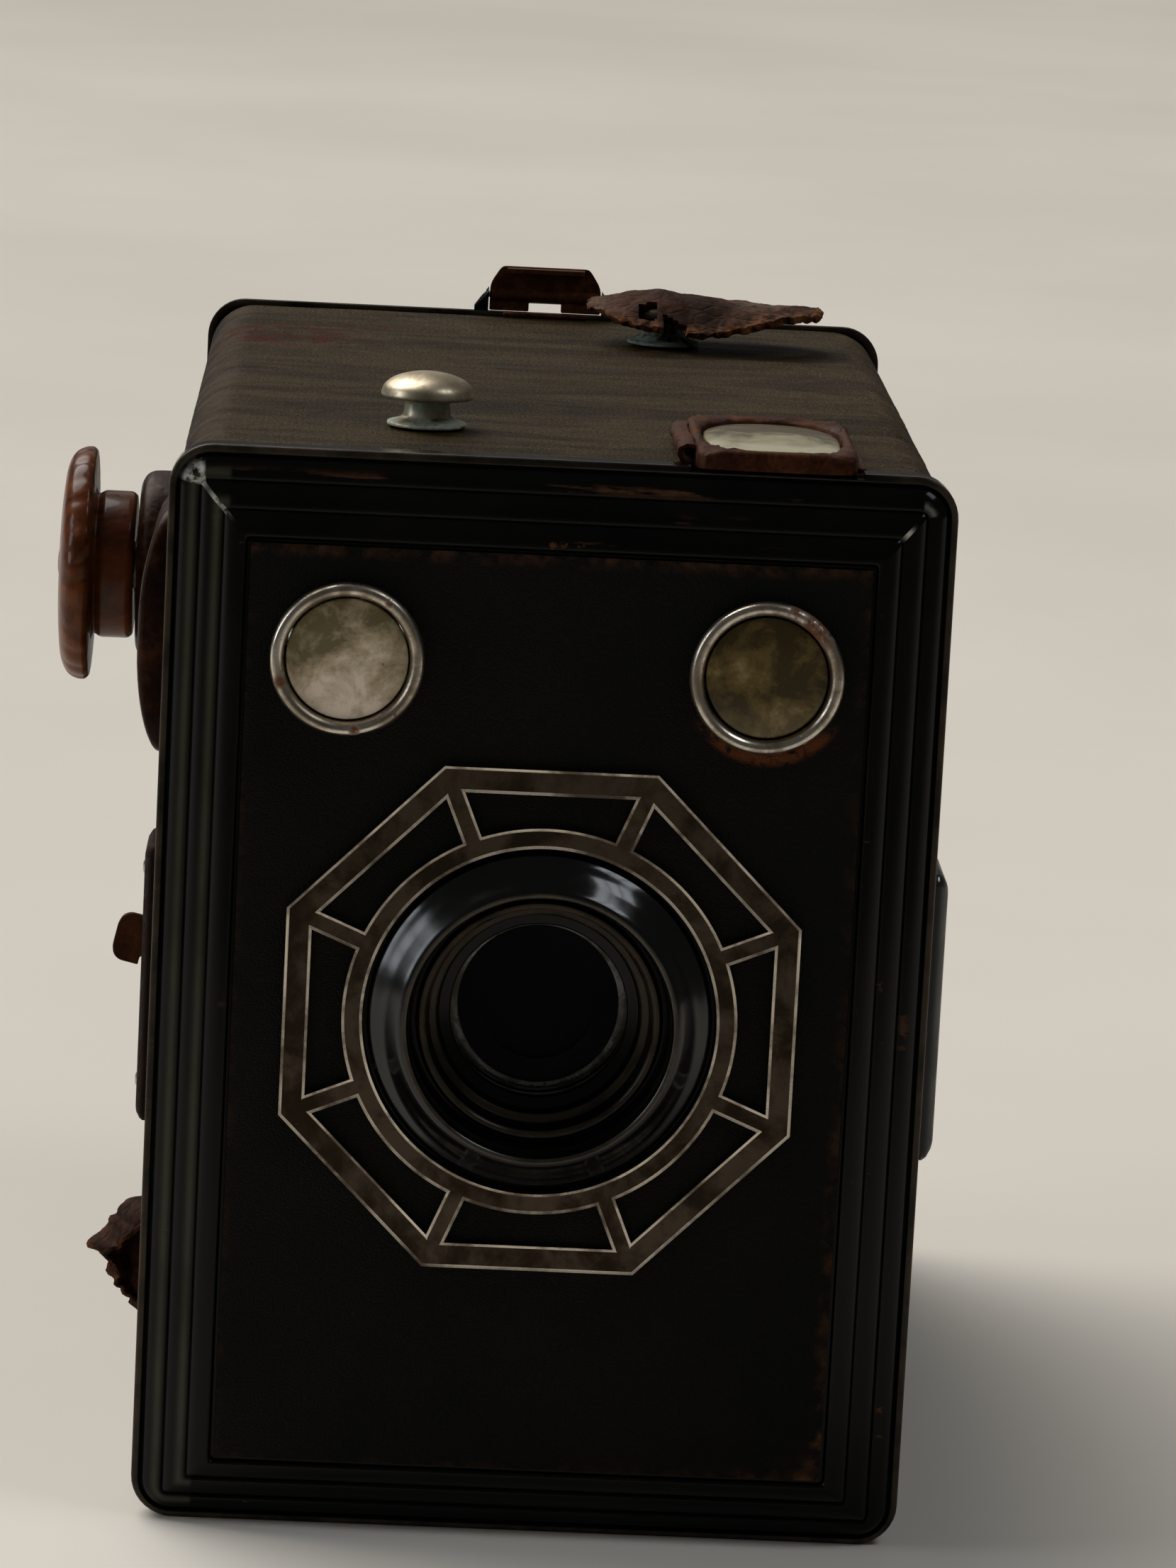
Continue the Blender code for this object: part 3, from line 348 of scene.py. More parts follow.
def m_cloudy(name, lo, mid, hi, centre, tilt, size=150, speck=0.5, rough=0.16):
    """Old finder glass: cloudy from within, dust and small marks on top."""
    g = Graph(name)
    cloud = g.noise(size * 1.5, 8, 0.66, warp=0.35)
    soft = g.noise(size * 0.42, 4, 0.5, warp=0.6)
    fine = g.noise(size * 11, 4, 0.6)
    # grade shifts the tone along one axis; on the top glass it is a painted reflection, darker towards the rear of the
    # pane.
    grade = g.span(g.xyz(tilt[0]), (centre[tilt[0]] - tilt[1]) * MM, (centre[tilt[0]] + tilt[1]) * MM,
                   tilt[2], tilt[3])
    v = g.add(g.mul(cloud, 0.75), g.mul(soft, 0.30), grade, -0.10)
    col = g.ramp(v, [(0.41, lo), (0.52, mid), (0.63, hi)])
    dots = g.span(g.cells(size * 5.5), 0.10, 0.16, 1.0, 0.0)
    dots = g.mul(dots, g.span(g.noise(size * 2.3, 3), 0.55, 0.62), speck)
    col = g.mix(dots, col, (0.010, 0.008, 0.005))
    r = g.add(g.span(cloud, 0.3, 0.7, rough, rough + 0.12), g.mul(g.span(fine, 0.6, 0.8), 0.1))
    h = g.add(g.mul(cloud, 0.5), g.mul(fine, 0.15), g.mul(dots, 0.6))
    return g.set(color=col, rough=r, spec=0.30, coat=0.30, coat_rough=0.06,
                 normal=g.bump(h, 0.015))


def m_black(name, base, rough, depth=0.02, metal=0.2, wear=(0.05, 0.045, 0.04)):
    g = Graph(name)
    a = g.noise(180, 6, 0.6)
    b = g.noise(2400, 4, 0.6)
    s = g.noise(1.0, 6, 0.7, vec=g.at(60, 900, 60))
    col = g.mix(g.span(a, 0.4, 0.7), base, tuple(c * 2.1 for c in base))
    col = g.mix(g.mul(g.span(s, 0.66, 0.72), 0.6), col, wear)
    r = g.add(g.span(a, 0.3, 0.7, rough - 0.08, rough + 0.12), g.mul(g.span(b, 0.5, 0.8), 0.08))
    return g.set(color=col, rough=r, metal=metal, normal=g.bump(g.add(g.mul(b, 0.6), a), depth))


def m_wood():
    g = Graph("spool_wood")
    ring = g.noise(1.0, 6, 0.62, vec=g.at(26, 480, 480), warp=0.8)
    pore = g.noise(1.0, 3, 0.6, vec=g.at(190, 5200, 5200))
    col = g.ramp(ring, [(0.34, (0.105, 0.055, 0.024)), (0.52, (0.235, 0.138, 0.066)),
                        (0.68, (0.330, 0.215, 0.115))])
    col = g.mix(g.mul(g.span(pore, 0.60, 0.72), 0.6), col, (0.060, 0.030, 0.014))
    h = g.add(g.mul(ring, 0.8), g.mul(pore, 0.8))
    return g.set(color=col, rough=g.span(ring, 0.3, 0.7, 0.62, 0.46), spec=0.4,
                 normal=g.bump(h, 0.03))


def m_old_leather():
    g = Graph("torn_leather")
    a = g.noise(120, 8, 0.68, warp=0.6)
    b = g.noise(900, 6, 0.65)
    crack = g.cells(420, vec=g.at(1.0, 1.6, 1.0), feature="DISTANCE_TO_EDGE")
    torn = g.attr("edge")
    col = g.ramp(g.add(g.mul(a, 0.7), g.mul(b, 0.3)),
                 [(0.36, (0.0075, 0.0028, 0.0014)), (0.50, (0.024, 0.0082, 0.0034)),
                  (0.63, (0.070, 0.024, 0.009))])
    col = g.mix(g.mul(torn, g.span(b, 0.40, 0.60)), col,
                g.ramp(g.noise(260, 5), [(0.35, (0.085, 0.028, 0.009)), (0.7, (0.200, 0.078, 0.026))]))
    worn = g.mul(g.attr("worn"), g.span(g.noise(380, 6, 0.7), 0.36, 0.56))
    col = g.mix(worn, col, (0.135, 0.088, 0.060))
    h = g.add(g.mul(a, 1.0), g.mul(b, 0.8), g.mul(g.span(crack, 0.0, 0.15), 0.7))
    return g.set(color=col, rough=g.span(a, 0.3, 0.7, 0.92, 0.74), spec=0.12, normal=g.bump(h, 0.10))


def m_ruby():
    g = Graph("ruby_window")
    a = g.noise(90, 5, 0.6)
    b = g.noise(2200, 4, 0.6)
    scr = g.noise(1.0, 3, 0.5, vec=g.at(240, 900, 3200, rot=(0, 0.6, 0)))
    col = g.mix(g.span(a, 0.35, 0.7), (0.110, 0.0035, 0.0028), (0.210, 0.0095, 0.0060))
    r = g.add(g.span(a, 0.3, 0.7, 0.16, 0.26), g.mul(g.span(scr, 0.62, 0.76), 0.2))
    return g.set(color=col, rough=r, coat=0.6, coat_rough=0.06, trans=0.15,
                 normal=g.bump(g.add(g.mul(b, 0.3), g.mul(scr, 0.5)), 0.012))


def m_mirror():
    g = Graph("silvered_mirror")
    a = g.noise(110, 7, 0.68, warp=0.7)
    b = g.noise(1900, 4, 0.6)
    foxed = g.span(a, 0.58, 0.68)
    col = g.mix(foxed, (0.78, 0.78, 0.75), (0.30, 0.24, 0.16))
    return g.set(color=col, metal=g.span(foxed, 0, 1, 1.0, 0.5),
                 rough=g.add(0.05, g.mul(foxed, 0.3), g.mul(g.span(b, 0.55, 0.8), 0.05)),
                 normal=g.bump(b, 0.003))


def m_lens():
    g = Graph("lens_glass")
    a = g.noise(160, 6, 0.6)
    b = g.noise(2600, 3, 0.6)
    dust = g.span(g.noise(1400, 5, 0.7), 0.66, 0.72)
    r = g.add(g.span(a, 0.35, 0.7, 0.01, 0.04), g.mul(dust, 0.12))
    col = g.mix(dust, (0.42, 0.44, 0.47), (0.30, 0.28, 0.25))
    return g.set(color=col, rough=r, ior=1.07, trans=1.0, spec=0.08, normal=g.bump(b, 0.0003))


def m_floor():
    g = Graph("floor")
    a = g.noise(3.0, 5, 0.55)
    b = g.noise(420, 4, 0.6)
    col = g.mix(g.span(a, 0.3, 0.7), (0.690, 0.640, 0.570), (0.740, 0.690, 0.620))
    # Painted shade: the floor turns dark towards the front of the camera, from y -0.10 m to -0.42 m.
    col = g.mix(g.span(g.xyz(1), -0.42, -0.10, 0.85, 0.0), col, (0.085, 0.080, 0.072))
    return g.set(color=col, rough=g.span(a, 0.3, 0.7, 0.60, 0.68), spec=0.25,
                 normal=g.bump(b, 0.01))


ENAMEL = m_enamel("enamel_front", 1.0)
ENAMEL_LENS = m_enamel("enamel_lens", 0.35, 0.42)
ENAMEL_TUBE = m_enamel("enamel_tube", 0.3, 0.16)
ENAMEL_DOOR = m_enamel("enamel_door", 0.8, 0.14)
PANEL = m_panel()
CASE = m_case()
NICKEL = m_metal("tarnished_nickel", (0.078, 0.060, 0.043), (0.030, 0.021, 0.0135), 0.38, 0.54, rust=0.18,
                 size=170, pit=0.012)
# Light plating for the inset rim round each octagon edge: partly rubbed plating, partly a painted highlight.
NICKEL_EDGE_WEAR_AND_HIGHLIGHT = m_metal("nickel_edge_wear_and_painted_highlight", (0.84, 0.74, 0.60), (0.125, 0.092, 0.062), 0.24, 0.44, rust=0.14,
                      size=110, pit=0.008, shine=0.45)
BRIGHT = m_metal("bright_nickel", (0.62, 0.56, 0.47), (0.26, 0.215, 0.160), 0.20, 0.40, rust=0.24,
                 rust_col=(0.200, 0.075, 0.028), size=260, pit=0.010,
                 chips=((25.7, -64.2, 96.3, 1.9), (23.4, -64.2, 98.0, 0.7), (-27.6, -64.2, 88.6, 0.6),
                        (-20.0, -64.2, 84.0, 0.5), (-17.0, -64.2, 97.0, 0.4)))
STUD = m_metal("stud_nickel", (0.50, 0.425, 0.310), (0.27, 0.220, 0.140), 0.36, 0.52, rust=0.12,
               rust_col=(0.16, 0.12, 0.06), size=300, pit=0.012, green=(0.400, 0.450, 0.370))
STUD_REAR = m_metal("stud_nickel_rear", (0.040, 0.033, 0.022), (0.018, 0.014, 0.009), 0.45, 0.65, rust=0.12,
                    rust_col=(0.16, 0.12, 0.06), size=300, pit=0.012, green=(0.260, 0.310, 0.255))
STEEL = m_metal("bare_steel", (0.46, 0.44, 0.42), (0.22, 0.20, 0.18), 0.28, 0.46, rust=0.22,
                size=150, pit=0.014)
PLATE_RUST = m_rust("rusted_brown", (0.0035, 0.0016, 0.0009), (0.0110, 0.0045, 0.0022), (0.036, 0.0140, 0.0065))
LATCH_RUST = m_rust("rusted_latch", (0.0150, 0.0045, 0.0017), (0.056, 0.0175, 0.0062),
                    (0.130, 0.047, 0.0185), size=240, rough=(0.48, 0.80))
FRAME_RUST = m_rust("rusted_frame", (0.0120, 0.0034, 0.0011), (0.042, 0.0122, 0.0040),
                    (0.110, 0.0400, 0.0155), size=330, rough=(0.45, 0.78))
COLLAR_RUST = m_rust("rusted_collar", (0.0060, 0.0020, 0.0008), (0.0190, 0.0062, 0.0024),
                     (0.060, 0.021, 0.0085), size=220, rough=(0.26, 0.55), depth=0.03)
EDGE_RUST = m_rust("rubbed_rust_edge", (0.012, 0.0048, 0.0022), (0.046, 0.0185, 0.0085),
                   (0.120, 0.056, 0.030), rough=(0.32, 0.58), metal=0.5, depth=0.02)
BAKELITE = m_bakelite()
GLASS_L = m_cloudy("finder_glass_left", (0.190, 0.155, 0.075), (0.540, 0.440, 0.285), (0.950, 0.800, 0.660),
                   (-21.0, -63.0, 91.0), (2, 6.0, 0.20, -0.02), size=150)
GLASS_R = m_cloudy("finder_glass_right", (0.045, 0.030, 0.0060), (0.150, 0.102, 0.026), (0.340, 0.260, 0.120),
                   (21.0, -63.0, 91.0), (2, 6.0, 0.10, 0.00), size=170, rough=0.10)
# The top pane is painted darker towards its rear, a painted reflection of the rear edge of its opening.
GLASS_T = m_cloudy("finder_glass_top", (0.090, 0.066, 0.030), (0.260, 0.225, 0.125), (0.370, 0.335, 0.205),
                   (21.1, -46.8, 112.7), (1, 9.0, 0.22, -0.10), size=120, speck=0.3, rough=0.22)
GLASS_S = m_cloudy("finder_glass_side", (0.130, 0.112, 0.066), (0.260, 0.230, 0.150), (0.380, 0.350, 0.250),
                   (-40.4, -48.4, 91.3), (2, 9.0, 0.05, 0.12), size=120, speck=0.4, rough=0.2)
BLACKED = m_black("blackened_steel", (0.0085, 0.0082, 0.0080), 0.58)
SATIN = m_black("black_lacquer", (0.0065, 0.0062, 0.0060), 0.40, depth=0.012, wear=(0.085, 0.06, 0.04))
WOOD = m_wood()
LEATHER = m_old_leather()
RUBY = m_ruby()
MIRROR = m_mirror()
LENS = m_lens()
FLOOR = m_floor()


# ==================================================================== geometry
def smooth_mesh(me, sharp):
    me.shade_smooth()
    me.set_sharp_from_angle(angle=math.radians(sharp))


def solid(name, verts, faces, mat, sharp=38.0, attrs=None, recalc=True):
    me = bpy.data.meshes.new(name)
    me.from_pydata([(x * MM, y * MM, z * MM) for x, y, z in verts], [], faces)
    if recalc:
        bm = bmesh.new()
        bm.from_mesh(me)
        bmesh.ops.recalc_face_normals(bm, faces=bm.faces[:])
        bm.to_mesh(me)
        bm.free()
    for key, values in (attrs or {}).items():
        a = me.attributes.new(key, "FLOAT", "POINT")
        a.data.foreach_set("value", np.asarray(values, np.float32))
    smooth_mesh(me, sharp)
    if mat is not None:
        me.materials.append(mat)
    ob = bpy.data.objects.new(name, me)
    scene.collection.objects.link(ob)
    return ob


def stands_for(ob, slot, *nodes, body=None):
    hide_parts(*nodes)
    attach(ob, body or BODY[nodes[0]])
    return ob


def extra(ob, body):
    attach(ob, body)
    return ob


def settle(ob, sharp=38.0):
    """Turns the object's modifiers into its mesh, then sets its shading."""
    bpy.context.view_layer.update()
    dg = bpy.context.evaluated_depsgraph_get()
    me = bpy.data.meshes.new_from_object(ob.evaluated_get(dg), preserve_all_data_layers=True,
                                         depsgraph=dg)
    old = ob.data
    ob.modifiers.clear()
    ob.data = me
    bpy.data.meshes.remove(old)
    smooth_mesh(me, sharp)
    return ob


def cut(ob, parts, op="DIFFERENCE", sharp=38.0):
    """Boolean with a tool of closed shapes that don't touch each other."""
    v, f = [], []
    for pv, pf in parts:
        k = len(v)
        v += pv
        f += [tuple(i + k for i in q) for q in pf]
    tool = solid("tool", v, f, None)
    m = ob.modifiers.new("cut", "BOOLEAN")
    m.operation = op
    m.solver = "EXACT"
    m.object = tool
    settle(ob, sharp)
    me = tool.data
    bpy.data.objects.remove(tool, do_unlink=True)
    bpy.data.meshes.remove(me)
    return ob


def soften(ob, width, seg=2, angle=35.0, sharp=60.0, worn=None):
    """Small rounded edges, then normals weighted by face size.  worn is the
    material that shows where the edges are rubbed."""
    m = ob.modifiers.new("edge", "BEVEL")
    m.width = width * MM
    m.segments = seg
    m.limit_method = "ANGLE"
    m.angle_limit = math.radians(angle)
    m.use_clamp_overlap = True
    m.miter_outer = "MITER_ARC"
    if worn is not None:
        ob.data.materials.append(worn)
        m.material = len(ob.data.materials) - 1
    settle(ob, sharp)
    w = ob.modifiers.new("normals", "WEIGHTED_NORMAL")
    w.keep_sharp = True
    w.weight = 80
    return ob


def place(axis, u, v, a):
    if axis == "x":
        return (a, u, v)
    if axis == "y":
        return (u, a, v)
    return (u, v, a)


def level(axis, pts, a):
    return [place(axis, u, v, a) for u, v in pts]


def box_data(lo, hi):
    x0, y0, z0 = lo
    x1, y1, z1 = hi
    v = [(x0, y0, z0), (x1, y0, z0), (x1, y1, z0), (x0, y1, z0),
         (x0, y0, z1), (x1, y0, z1), (x1, y1, z1), (x0, y1, z1)]
    return v, [(0, 3, 2, 1), (4, 5, 6, 7), (0, 1, 5, 4), (1, 2, 6, 5), (2, 3, 7, 6), (3, 0, 4, 7)]


def prism_data(pts, axis, a0, a1):
    n = len(pts)
    v = level(axis, pts, a0) + level(axis, pts, a1)
    f = [tuple(range(n)), tuple(range(2 * n - 1, n - 1, -1))]
    f += [(i, (i + 1) % n, n + (i + 1) % n, n + i) for i in range(n)]
    return v, f


def skin_data(loops):
    n = len(loops[0])
    v = [p for lp in loops for p in lp]
    f = [tuple(range(n - 1, -1, -1)), tuple((len(loops) - 1) * n + i for i in range(n))]
    for k in range(len(loops) - 1):
        f += [(k * n + i, k * n + (i + 1) % n, (k + 1) * n + (i + 1) % n, (k + 1) * n + i)
              for i in range(n)]
    return v, f


def circle(cu, cv, r, n):
    return [(cu + r * math.cos(2 * math.pi * i / n), cv + r * math.sin(2 * math.pi * i / n))
            for i in range(n)]


def cyl_data(axis, cu, cv, r, a0, a1, n=48):
    return prism_data(circle(cu, cv, r, n), axis, a0, a1)


def rounded(u0, u1, v0, v1, r, n, step=None):
    """Rounded rectangle; step splits the straight sides into pieces that long."""
    corners = ((u1 - r, v1 - r, 0), (u0 + r, v1 - r, 90), (u0 + r, v0 + r, 180), (u1 - r, v0 + r, 270))
    pts = []
    for k, (cu, cv, s) in enumerate(corners):
        for i in range(n + 1):
            t = math.radians(s + 90.0 * i / n)
            pts.append((cu + r * math.cos(t), cv + r * math.sin(t)))
        if step:
            nu, nv, ns = corners[(k + 1) % 4]
            t = math.radians(ns)
            a, b = pts[-1], (nu + r * math.cos(t), nv + r * math.sin(t))
            m = max(1, int(round(math.dist(a, b) / step)))
            pts += [(a[0] + (b[0] - a[0]) * i / m, a[1] + (b[1] - a[1]) * i / m) for i in range(1, m)]
    return pts


def oval(cu, cv, hu, hv, e, n):
    pts = []
    for i in range(n):
        t = 2 * math.pi * (i + 0.5) / n
        c, s = math.cos(t), math.sin(t)
        pts.append((cu + hu * math.copysign(abs(c) ** (2 / e), c),
                    cv + hv * math.copysign(abs(s) ** (2 / e), s)))
    return pts


def fillet(pts, r, n=3, closed=True):
    """Rounds the corners of an outline.  A third value in a point is its own
    radius."""
    out = []
    m = len(pts)
    for i, q in enumerate(pts):
        rr = q[2] if len(q) > 2 else r
        p = np.array(q[:2], float)
        if (not closed and i in (0, m - 1)) or rr <= 0:
            out.append((float(p[0]), float(p[1])))
            continue
        a, b = np.array(pts[i - 1][:2], float), np.array(pts[(i + 1) % m][:2], float)
        la, lb = np.linalg.norm(a - p), np.linalg.norm(b - p)
        s = p + (a - p) / la * min(rr, la * 0.46)
        e = p + (b - p) / lb * min(rr, lb * 0.46)
        for k in range(n + 1):
            t = k / n
            w = (1 - t) ** 2 * s + 2 * t * (1 - t) * p + t * t * e
            out.append((float(w[0]), float(w[1])))
    return out


def lathe(name, profile, axis, cu, cv, mat, n=72, r=0.12, seg=3, sharp=40.0, flute=None, attrs=None):
    """Turned piece with rounded edges.  flute(radius, along, angle) moves a
    point outwards; attrs gives a value for each (radius, along)."""
    hard = profile[0][0] == 0.0 and profile[-1][0] == 0.0
    prof = fillet(profile, r, seg, closed=not hard)
    rings = prof[1:-1] if hard else prof
    verts, faces = [], []
    for q, a in rings:
        for i in range(n):
            t = 2 * math.pi * i / n
            d = q + (flute(q, a, t) if flute else 0.0)
            verts.append(place(axis, cu + d * math.cos(t), cv + d * math.sin(t), a))
    m = len(rings)
    for k in range(m - 1 if hard else m):
        k2 = (k + 1) % m
        faces += [(k * n + i, k * n + (i + 1) % n, k2 * n + (i + 1) % n, k2 * n + i) for i in range(n)]
    if hard:
        for ring, a, rev in ((0, prof[0][1], True), (m - 1, prof[-1][1], False)):
            p = len(verts)
            verts.append(place(axis, cu, cv, a))
            faces += [(p, ring * n + (i + 1) % n, ring * n + i) if rev
                      else (p, ring * n + i, ring * n + (i + 1) % n) for i in range(n)]
    values = {}
    for key, fn in (attrs or {}).items():
        vals = [fn(q, a) for q, a in rings for _ in range(n)]
        vals += [0.0] * (len(verts) - len(vals))
        values[key] = vals
    return solid(name, verts, faces, mat, sharp, values)


def ripple(ob, amp, scale, seed=0.0, axis_scale=(1, 1, 1), keep=None):
    """Moves points along their normals by smooth noise, amp in mm."""
    me = ob.data
    ns = [v.normal.copy() for v in me.vertices]
    for v, nrm in zip(me.vertices, ns):
        p = v.co / MM
        w = 1.0 if keep is None else keep(p)
        if w:
            q = Vector((p.x * axis_scale[0], p.y * axis_scale[1], p.z * axis_scale[2])) * scale
            q += Vector((seed, seed * 1.7, seed * 0.6))
            v.co += nrm * (amp * w * noise.fractal(q, 1.0, 2.0, 4) * MM)
    me.update()
    return ob


# ============================================================ front plate
WIDTH, HEIGHT, Y_LIP = 79.0, 111.5, -60.0
LIP_R, M_SIDE, M_TOP, M_BOTTOM = 4.3, 8.4, 9.2, 7.4
LENS_Z = 54.7
FINDER_X, FINDER_Z = 21.0, 91.0


def section(t, n=9, step=None):
    k = t / M_SIDE
    r = max(0.45, LIP_R - 1.15 * t)
    return rounded(-WIDTH / 2 + t, WIDTH / 2 - t, k * M_BOTTOM, HEIGHT - k * M_TOP, r, n, step)


def step_curve(t0, f0, t1, f1, dip_t, dip_f, n=13):
    """One rounded step of the moulding: up to its crown, then a small fall
    into the groove before the next."""
    out = []
    for i in range(1, n + 1):
        s = i / n
        out.append((t0 + (t1 - t0) * s, f0 + (f1 - f0) * math.sin(math.pi / 2 * s ** 0.8)))
    out.append((t1 + (dip_t - t1) * 0.5, f1 + (dip_f - f1) * 0.30))
    out.append((t1 + (dip_t - t1) * 0.85, f1 + (dip_f - f1) * 0.75))
    out.append((dip_t, dip_f))
    return out


prof = [(0.0, -2.8), (0.0, -2.5), (0.0, -1.2), (0.0, -0.42)]
prof += [(0.30 - 0.30 * math.cos(math.radians(a)), -0.30 + 0.30 * math.sin(math.radians(a)))
         for a in (15, 35, 55, 75, 90)]
prof += [(0.60, 0.0), (0.72, -0.06), (0.82, -0.18), (0.90, -0.25), (0.96, -0.22)]
prof += step_curve(0.96, -0.22, 2.80, 0.92, 3.15, 0.76)
prof += step_curve(3.18, 0.78, 5.25, 1.92, 5.60, 1.76)
prof += step_curve(5.63, 1.78, 7.65, 2.85, 7.85, 2.78)
prof += [(7.98, 2.55), (8.05, 2.32), (8.12, 2.22), (8.22, 2.20)]
back = [(8.0, 1.40), (5.6, 0.90), (3.2, -0.10), (1.4, -0.90), (0.9, -1.10), (0.9, -2.8)]
crown_at = (2.45, 4.95, 7.35)
rings, crown, lip, glint = [], [], [], []
for t, f in list(reversed(prof)) + list(reversed(back)):
    lp = level("y", section(t), Y_LIP - f)
    rings.append(lp)
    front_side = (t, f) in prof
    crown += [max([math.exp(-((t - c) / 0.42) ** 2) for c in crown_at]) if front_side else 0.0] * len(lp)
    # lip: the rolled outer edge, painted lighter as partly worn enamel and partly a painted highlight.
    lip += [(1.0 if 0.0 <= t <= 0.66 and f > -0.6 else 0.0) if front_side else 0.0] * len(lp)
    # glint marks the ridge crowns at the top-left and top-right mitres, where a painted highlight goes.
    for i in range(len(lp)):
        c_ = i // 10
        w = 0.0
        if front_side and c_ == 1:
            w = max(1.3 * math.exp(-((t - 2.4) / 0.9) ** 2), 1.3 * math.exp(-((t - 4.9) / 0.7) ** 2))
        elif front_side and c_ == 0:
            w = max(math.exp(-((t - 4.9) / 0.35) ** 2), 0.26 * math.exp(-((t - 2.5) / 0.3) ** 2))
        glint.append(w * (1.0 if 2 <= i % 10 <= 7 else 0.0))
n_lp = len(rings[0])
verts = [p for lp in rings for p in lp]
faces = []
for k in range(len(rings) - 1):
    faces += [(k * n_lp + i, k * n_lp + (i + 1) % n_lp, (k + 1) * n_lp + (i + 1) % n_lp,
               (k + 1) * n_lp + i) for i in range(n_lp)]
faces.append(tuple(range(n_lp - 1, -1, -1)))
faces.append(tuple((len(rings) - 1) * n_lp + i for i in range(n_lp)))
plate = solid("front_plate_pressing", verts, faces, ENAMEL, 50, {"crown": crown, "lip": lip, "glint": glint})
cut(plate, [cyl_data("y", 0.0, LENS_Z, 12.55, -64, -56, 64),
            cyl_data("y", -FINDER_X, FINDER_Z, 7.05, -64, -56, 48),
            cyl_data("y", FINDER_X, FINDER_Z, 7.05, -64, -56, 48),
            box_data((12.4, -61.0, 110.95), (29.9, -56.9, 113.0))], sharp=42)
stands_for(plate, "black_enamel", "front_plate")

# ================================================= leatherette on the panel
PX, PZ0, PZ1, PY = 31.1, 7.45, 102.3, -62.75
nx, nz = 84, 128
verts, faces, edge = [], [], []


def panel_point(i, j):
    """Front face point with cut edges that wander slightly."""
    u, v = i / nx, j / nz
    x = -PX + 2 * PX * u
    z = PZ0 + (PZ1 - PZ0) * v
    ex, ez = min(u, 1 - u) * 2 * PX, min(v, 1 - v) * (PZ1 - PZ0)
    if ex < 0.01:
        x -= math.copysign(0.09 * abs(noise.noise(Vector((z * 0.35, 3.0, 0.0)))) + 0.02, x)
    if ez < 0.01:
        z += (0.09 * abs(noise.noise(Vector((x * 0.35, 9.0, 0.0)))) + 0.02) * (1 if v < 0.5 else -1)
    d = min(ex, ez)
    y = PY + 0.10 * max(0.0, 1.0 - d / 0.7) ** 2
    y -= 0.028 * noise.noise(Vector((x * 0.09, z * 0.09, 1.0))) if d > 0.7 else 0.0
    corner = math.hypot(x - PX, z - PZ0)
    w = 0.22 * max(0.0, 1 - d / 0.9)
    w += 0.9 * max(0.0, 1 - d / 1.5) * max(0.0, 1 - corner / 16.0)
    w += 0.5 * max(0.0, 1 - corner / 5.0)
    if v > 0.5 and ez < 1.2:
        w += 0.35
    if u > 0.5 and ex < 1.2:
        w += 0.25 * (1 if z < 45 else 0.4)
    return (x, y, z), min(1.0, w)


for j in range(nz + 1):
    for i in range(nx + 1):
        p, w = panel_point(i, j)
        verts.append(p)
        edge.append(w)
top_n = len(verts)
for j in range(nz + 1):
    for i in range(nx + 1):
        p, w = panel_point(i, j)
        verts.append((p[0], PY + 0.35, p[2]))
        edge.append(w)
for j in range(nz):
    for i in range(nx):
        a = j * (nx + 1) + i
        faces.append((a, a + 1, a + nx + 2, a + nx + 1))
        faces.append((top_n + a, top_n + a + nx + 1, top_n + a + nx + 2, top_n + a + 1))
for i in range(nx):
    for a, b in ((i, i + 1), (nz * (nx + 1) + i + 1, nz * (nx + 1) + i)):
        faces.append((a, top_n + a, top_n + b, b))
for j in range(nz):
    for a, b in (((j + 1) * (nx + 1), j * (nx + 1)), (j * (nx + 1) + nx, (j + 1) * (nx + 1) + nx)):
        faces.append((a, top_n + a, top_n + b, b))
panel = solid("front_panel_cover", verts, faces, PANEL, 50, {"edge": edge})
cut(panel, [cyl_data("y", 0.0, LENS_Z, 17.8, -64, -61, 96),
            cyl_data("y", -FINDER_X, FINDER_Z, 7.05, -64, -61, 48),
            cyl_data("y", FINDER_X, FINDER_Z, 7.05, -64, -61, 48)], sharp=50)
stands_for(panel, "panel_leatherette", "front_panel_leatherette")

# ============================================================ octagon trim
APO, STRIP, R1, R0, SPOKE = 25.95, 2.6, 20.0, 17.9, 2.0
oct_r = APO / math.cos(math.pi / 8)
octagon = [(oct_r * math.cos(math.pi / 8 + k * math.pi / 4),
            LENS_Z + oct_r * math.sin(math.pi / 8 + k * math.pi / 4)) for k in range(8)]
v, f = prism_data(octagon, "y", -63.55, -63.05)
trim = solid("octagon_stamping", v, f, NICKEL, 30)
holes = [cyl_data("y", 0.0, LENS_Z, R0, -65, -62, 144)]
half = math.pi / 8
for k in range(8):
    a = k * math.pi / 4
    u_out = APO - STRIP
    s = (u_out - 0.5 * SPOKE * math.sin(half)) / math.cos(half)
    v_out = s * math.sin(half) - 0.5 * SPOKE * math.cos(half)
    lim = math.asin(0.5 * SPOKE / R1)
    sp = half - lim
    pts = [(R1 * math.cos(-sp + 2 * sp * i / 16), R1 * math.sin(-sp + 2 * sp * i / 16)) for i in range(17)]
    pts += [(u_out, v_out), (u_out, -v_out)]
    holes.append(prism_data([(u * math.cos(a) - w * math.sin(a), LENS_Z + u * math.sin(a) + w * math.cos(a))
                             for u, w in pts], "y", -65, -62))
cut(trim, holes, sharp=30)
trim.data.materials.append(NICKEL_EDGE_WEAR_AND_HIGHLIGHT)
bm = bmesh.new()
bm.from_mesh(trim.data)
face_front = [q for q in bm.faces if q.normal.y < -0.9]
rim = bmesh.ops.inset_region(bm, faces=face_front, thickness=0.30 * MM, depth=-0.11 * MM,
                             use_even_offset=True, use_boundary=True)
# The inset rim takes the lighter edge material: rubbed plating and a painted highlight.
for q in rim["faces"]:
    q.material_index = 1
bm.to_mesh(trim.data)
bm.free()
soften(trim, 0.05, 2, 30, 60)
stands_for(trim, "tarnished_nickel", "octagon_trim")

